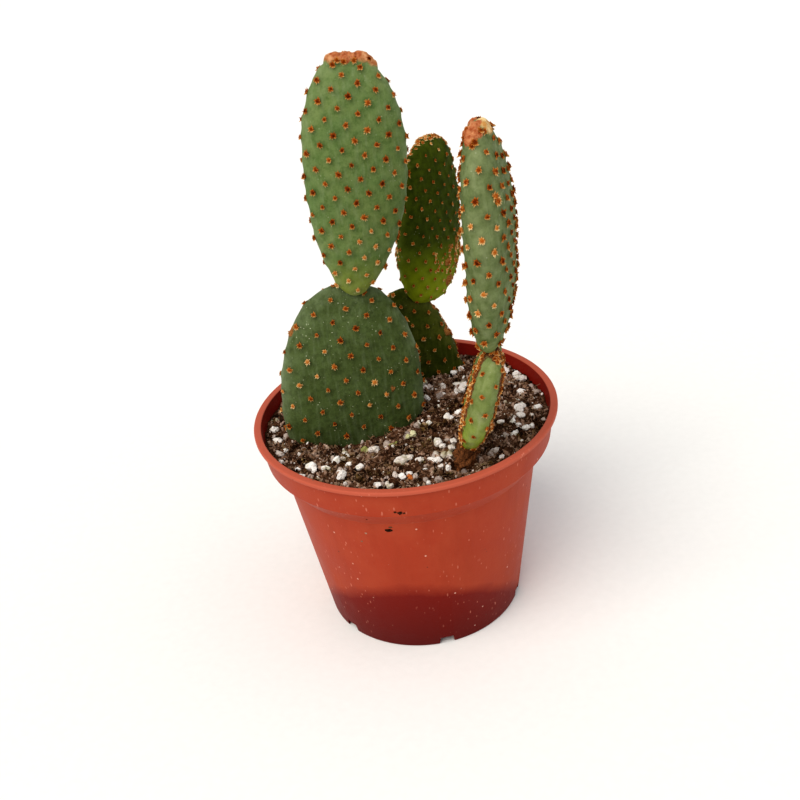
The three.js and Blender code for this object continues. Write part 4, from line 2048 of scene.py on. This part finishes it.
# ------------------------------------------------------------------ the plant
LEFT_LOWER = PadShape(
    "left_lower_pad", base=(-19, -1.9, 47.5), yaw=6, lean=4, tilt=5,
    length=70.8, half_width=23.2, half_thickness=7,
    widest=0.43, foot_taper=0.5, tip_taper=0.42,
    areoles=170, tuft_radius=1.18, seed=101, bow=1,
    scars=(Spot(180, 0.8, 2.2), Spot(0, 0.62, 2.0, 0.8), Spot(300, 0.52, 1.6, 0.7)),
    cream_tufts=(Spot(240, 0.68, 8), Spot(200, 0.5, 8), Spot(285, 0.5, 7)),
)
LEFT_UPPER = PadShape(
    "left_upper_pad", base=(-11, 0.2, 115), yaw=6, lean=0, tilt=5.3,
    length=71.2, half_width=15.1, half_thickness=5.2,
    widest=0.6, foot_taper=0.6, tip_taper=0.42,
    areoles=180, tuft_radius=1.16, seed=102, bow=1.5, sway=1.4,
    buds=(
        Bud(180, 0.992, 2.15),
        Bud(0, 0.99, 2.3),
        Bud(0, 0.97, 1.8),
        Bud(222, 0.993, 1.3, True),
        Bud(265, 0.988, 1.35, True),
        Bud(305, 0.992, 1.3, True),
        Bud(90, 0.996, 1.6, True),
    ),
    wool=(
        Spot(235, 0.985, 1.2, 0.1),
        Spot(262, 0.982, 1.1, 0.06),
        Spot(290, 0.985, 1.2, 0.12),
        Spot(90, 0.996, 1.3, 0.16),
        Spot(140, 0.994, 1.2, 0.12),
    ),
    cream_tufts=(Spot(250, 0.1, 11), Spot(290, 0.22, 9)),
)
MIDDLE_LOWER = PadShape(
    "middle_lower_pad", base=(12.6, 31.5, 52), yaw=12, lean=-2, tilt=-12,
    length=52.6, half_width=13.6, half_thickness=5.6,
    widest=0.25, foot_taper=0.5, tip_taper=0.41,
    areoles=110, tuft_radius=1.0, seed=103, tuft_tone=0.08,
    crown=Crown(-0.8, -0.2, 7, 0.8, 2, 0.6),
    scars=(Spot(190, 0.93, 3.2), Spot(180, 0.82, 2.4), Spot(0, 0.8, 2.2), Spot(340, 0.6, 2.0)),
    fringes=(
        Fringe(0, 0.35, 0.95, 22, 0.9, 0.16),
        Fringe(180, 0.72, 0.98, 14, 0.9, 0.26, 0.8),
    ),
)
MIDDLE_UPPER = PadShape(
    "middle_upper_pad", base=(12.7, 30, 96.9), yaw=48, lean=0, tilt=9.5,
    length=55.8, half_width=15.1, half_thickness=5.3,
    widest=0.38, foot_taper=0.36, tip_taper=0.38,
    areoles=190, tuft_radius=0.76, seed=104, tuft_tone=0.04,
    crown=Crown(-0.62, 0.62, 15, 0.95, 2, 0.4),
    scars=(Spot(300, 0.12, 2.6), Spot(280, 0.25, 1.8, 0.8), Spot(330, 0.3, 1.6)),
    cream_tufts=(Spot(270, 0.97, 5), Spot(270, 0.1, 5)),
    fringes=(
        Fringe(150, 0.25, 0.98, 36, 0.85, 0.34),
        Fringe(338, 0.25, 0.97, 26, 0.7, 0.24),
        Fringe(170, 0.3, 0.96, 30, 0.8, 0.3),
        Fringe(265, 0.2, 0.32, 8, 0.75, 0.3),
        Fringe(285, 0.17, 0.36, 10, 0.8, 0.3, 0.5, 9),
        Fringe(305, 0.2, 0.4, 12, 0.8, 0.32, 0.6, 9),
        Fringe(325, 0.1, 0.34, 14, 0.8, 0.3),
    ),
)
RIGHT_LOWER = PadShape(
    "right_lower_pad", base=(17.5, -30.1, 74), yaw=82, lean=-17, tilt=1,
    length=35, half_width=11.5, half_thickness=4.2,
    widest=0.55, foot_taper=0.6, tip_taper=0.4,
    areoles=75, tuft_radius=1.0, seed=105,
    stalk=Stalk(2.9, 13, 4),
    scars=(
        Spot(180, 0.985, 3.0, 0.9),
        Spot(250, 0.97, 2.6),
        Spot(110, 0.97, 2.6),
        Spot(90, 0.05, 2.4),
        Spot(270, 0.06, 3.2),
    ),
    fringes=(
        Fringe(112, 0.02, 0.97, 50, 1.05, 0.2, 0.85, 20),
        Fringe(246, 0.02, 0.97, 52, 1.05, 0.22, 0.85, 26),
        Fringe(240, 0.02, 0.4, 12, 1.1, 0.2, 0.9, 20),
        Fringe(200, 0.94, 0.99, 8, 1.0, 0.14, 0.9, 40),
    ),
)
RIGHT_UPPER = PadShape(
    "right_upper_pad", base=(26.8, -28, 105.9), yaw=74, lean=-1, tilt=-4,
    length=66.2, half_width=16, half_thickness=6.4,
    widest=0.52, foot_taper=0.42, tip_taper=0.45,
    areoles=200, tuft_radius=1.25, seed=106, bow=1.65, tuft_tone=-0.02,
    buds=(
        Bud(264, 0.982, 2.4),
        Bud(106, 0.97, 1.5, True),
        Bud(132, 0.98, 1.7, True),
        Bud(160, 0.963, 1.7, True),
        Bud(188, 0.98, 1.6, True),
        Bud(150, 0.994, 1.6, True),
        Bud(70, 0.99, 1.4, True),
    ),
    wool=(
        Spot(120, 0.962, 1.2, 0.08),
        Spot(170, 0.956, 1.2, 0.06),
        Spot(205, 0.982, 1.2, 0.1),
        Spot(140, 0.985, 1.0, 0.1),
        Spot(222, 0.765, 1.5, 0.26),
        Spot(231, 0.745, 1.2, 0.46),
    ),
    scars=(Spot(262, 0.97, 1.8, 0.35), Spot(180, 0.02, 2.4, 0.7), Spot(250, 0.02, 2.2, 0.7)),
    cream_tufts=(Spot(185, 0.6, 8), Spot(185, 0.35, 6)),
)

DARK_GREEN = CactusSkin(
    "waxy_cactus_skin_dark",
    body="#475529", patch="#546437", deep="#2f3a16", rim="#7f8c6c",
    foot="#272b09", foot_reach=0.42, rim_sheen_strength=0.75, dusty=1.0, streaked=0.2,
)
MID_GREEN = CactusSkin(
    "waxy_cactus_skin_mid",
    body="#647a46", patch="#72834c", deep="#4a632b", rim="#959f7c",
    foot="#88933a", foot_reach=0.2, rim_sheen_strength=0.5, dusty=0.5, streaked=0.2,
    bud="#cb966c", bud_dark="#a3663a",
)
# The shaded pad's whole skin is painted dark as shade cast by the left upper pad, and its bright foot is
# painted light where that shade ends.
SHADE_GREEN = CactusSkin(
    "waxy_cactus_skin_shaded",
    body="#333f02", patch="#434e06", deep="#232c00", rim="#6c7a2c",
    foot="#94a216", foot_reach=0.4, rim_sheen_strength=0.7, dusty=0.3, streaked=0.1, gloss=0.05,
)
# The old pad's dark foot is painted shade near the mix.
OLD_GREEN = CactusSkin(
    "waxy_cactus_skin_old",
    body="#3a440c", patch="#4c5214", deep="#293002", rim="#72703c",
    foot="#2b2f03", foot_reach=0.55, rim_sheen_strength=0.5, dusty=0.35, streaked=0.2, gloss=0.06,
)
GLAUCOUS = CactusSkin(
    "waxy_cactus_skin_glaucous",
    body="#616e40", patch="#788656", deep="#4a5a2c", rim="#9aa07c",
    foot="#66752a", foot_reach=0.14, rim_sheen_strength=0.5, dusty=0.5, streaked=0.15,
    bud="#e6cc98", bud_dark="#bd8a4c",
)
LIME = CactusSkin(
    "waxy_cactus_skin_young",
    body="#76834a", patch="#87925a", deep="#5f6f30", rim="#a0a47c",
    foot="#98ae10", foot_reach=0.5, rim_sheen_strength=0.5, dusty=0.25, streaked=0.15,
    cork="#84532e", cork_dark="#221107",
)

PEAT = GrainFinish(
    "milled_peat",
    (
        (0.0, "#180d06"),
        (0.28, "#432919"),
        (0.52, "#765640"),
        (0.76, "#9c7d69"),
        (0.92, "#b39684"),
        (1.0, "#c2a998"),
    ),
    grit=0.7, relief=0.3, drift=0.8, moss=0.9,
)
PERLITE = GrainFinish(
    "expanded_perlite",
    ((0.0, "#8f8078"), (0.3, "#bcaba1"), (0.6, "#e2d8d0"), (0.9, "#f8f3ee")),
    grit=0.5, relief=0.2, moss=0.6,
)
MOSSY = GrainFinish(
    "algae_tinted_perlite",
    ((0.0, "#6f7238"), (0.4, "#9a9a5a"), (0.75, "#c8c390"), (1.0, "#e6e0bc")),
    grit=0.6, relief=0.2,
)
BARK = GrainFinish(
    "orange_bark_chip", ((0.0, "#6a2a0c"), (0.5, "#b4561c"), (1.0, "#cf8a50")), grit=0.6, relief=0.15
)
FIBRE = GrainFinish(
    "dry_root_fibre", ((0.0, "#2a1b11"), (0.5, "#6a4f3a"), (1.0, "#a88c70")), grit=0.6, relief=0.05
)


@dataclass
class CactusPlant:
    """The six pads of the plant."""

    pads: tuple[Pad, ...] = field(
        default_factory=lambda: (
            Pad(LEFT_LOWER, DARK_GREEN),
            Pad(LEFT_UPPER, MID_GREEN),
            Pad(MIDDLE_LOWER, OLD_GREEN),
            Pad(MIDDLE_UPPER, SHADE_GREEN),
            Pad(RIGHT_LOWER, LIME),
            Pad(RIGHT_UPPER, GLAUCOUS),
        )
    )

    def build(self, tree: NodeTree) -> list[Object]:
        """Grows and dresses every pad.

        Args:
            tree: the geometry tree that plants tufts.
        Returns:
            The skins and the tufts.
        """
        patterns = TuftPattern().build()
        bristle = GlochidBristle().build()
        made = []
        for pad in self.pads:
            node = pad.shape.node
            skin = pad.build_skin()
            others = [other for other in self.pads if other is not pad]
            tufts = pad.build_tufts(skin, others, tree, patterns, bristle)
            made.append(dress(skin, pad.skin.build(), node))
            made.append(dress(tufts, bristle))
        return made


def build_mix(planting: NodeTree, strewing: NodeTree) -> list[Object]:
    """Fills the pot.

    Args:
        planting: the geometry tree that plants patterns.
        strewing: the geometry tree that strews patterns.
    Returns:
        The dressed pieces of the mix.
    """
    mix = PottingMix()
    peat, perlite, fibre = PEAT.build(), PERLITE.build(), FIBRE.build()
    body = mix.build_body()
    set_attribute(body.data, "tone", np.full(len(body.data.vertices), mix.body_tone))
    finishes = {
        GrainKind.CRUMB: peat,
        GrainKind.FINES: peat,
        GrainKind.PERLITE: perlite,
        GrainKind.FIBRE: fibre,
    }
    made = [dress(body, peat, "soil")]
    for kind, finish in finishes.items():
        made.append(dress(mix.build_grains(kind, strewing, finish), finish))
    for tint, finish in ((Tint.PALE, perlite), (Tint.MOSSY, MOSSY.build()), (Tint.BARK, BARK.build())):
        made.append(dress(mix.build_large_grains(tint, planting, finish), finish))
    flecks = NurseryPot().build_flecks(planting, peat)
    made.append(dress(flecks, peat))
    return made


def main() -> None:
    """Builds the pot, the mix, the plant and the studio."""
    logging.basicConfig(level=logging.INFO, format="%(name)s: %(message)s")
    planting, strewing = planting_tree(), strewing_tree()
    dress(NurseryPot().build(), TerracottaPolypropylene().build(), "pot")
    build_mix(planting, strewing)
    CactusPlant().build(planting)
    Studio().build()
    LOG.info("boxes written")


if __name__ == "__main__":
    main()
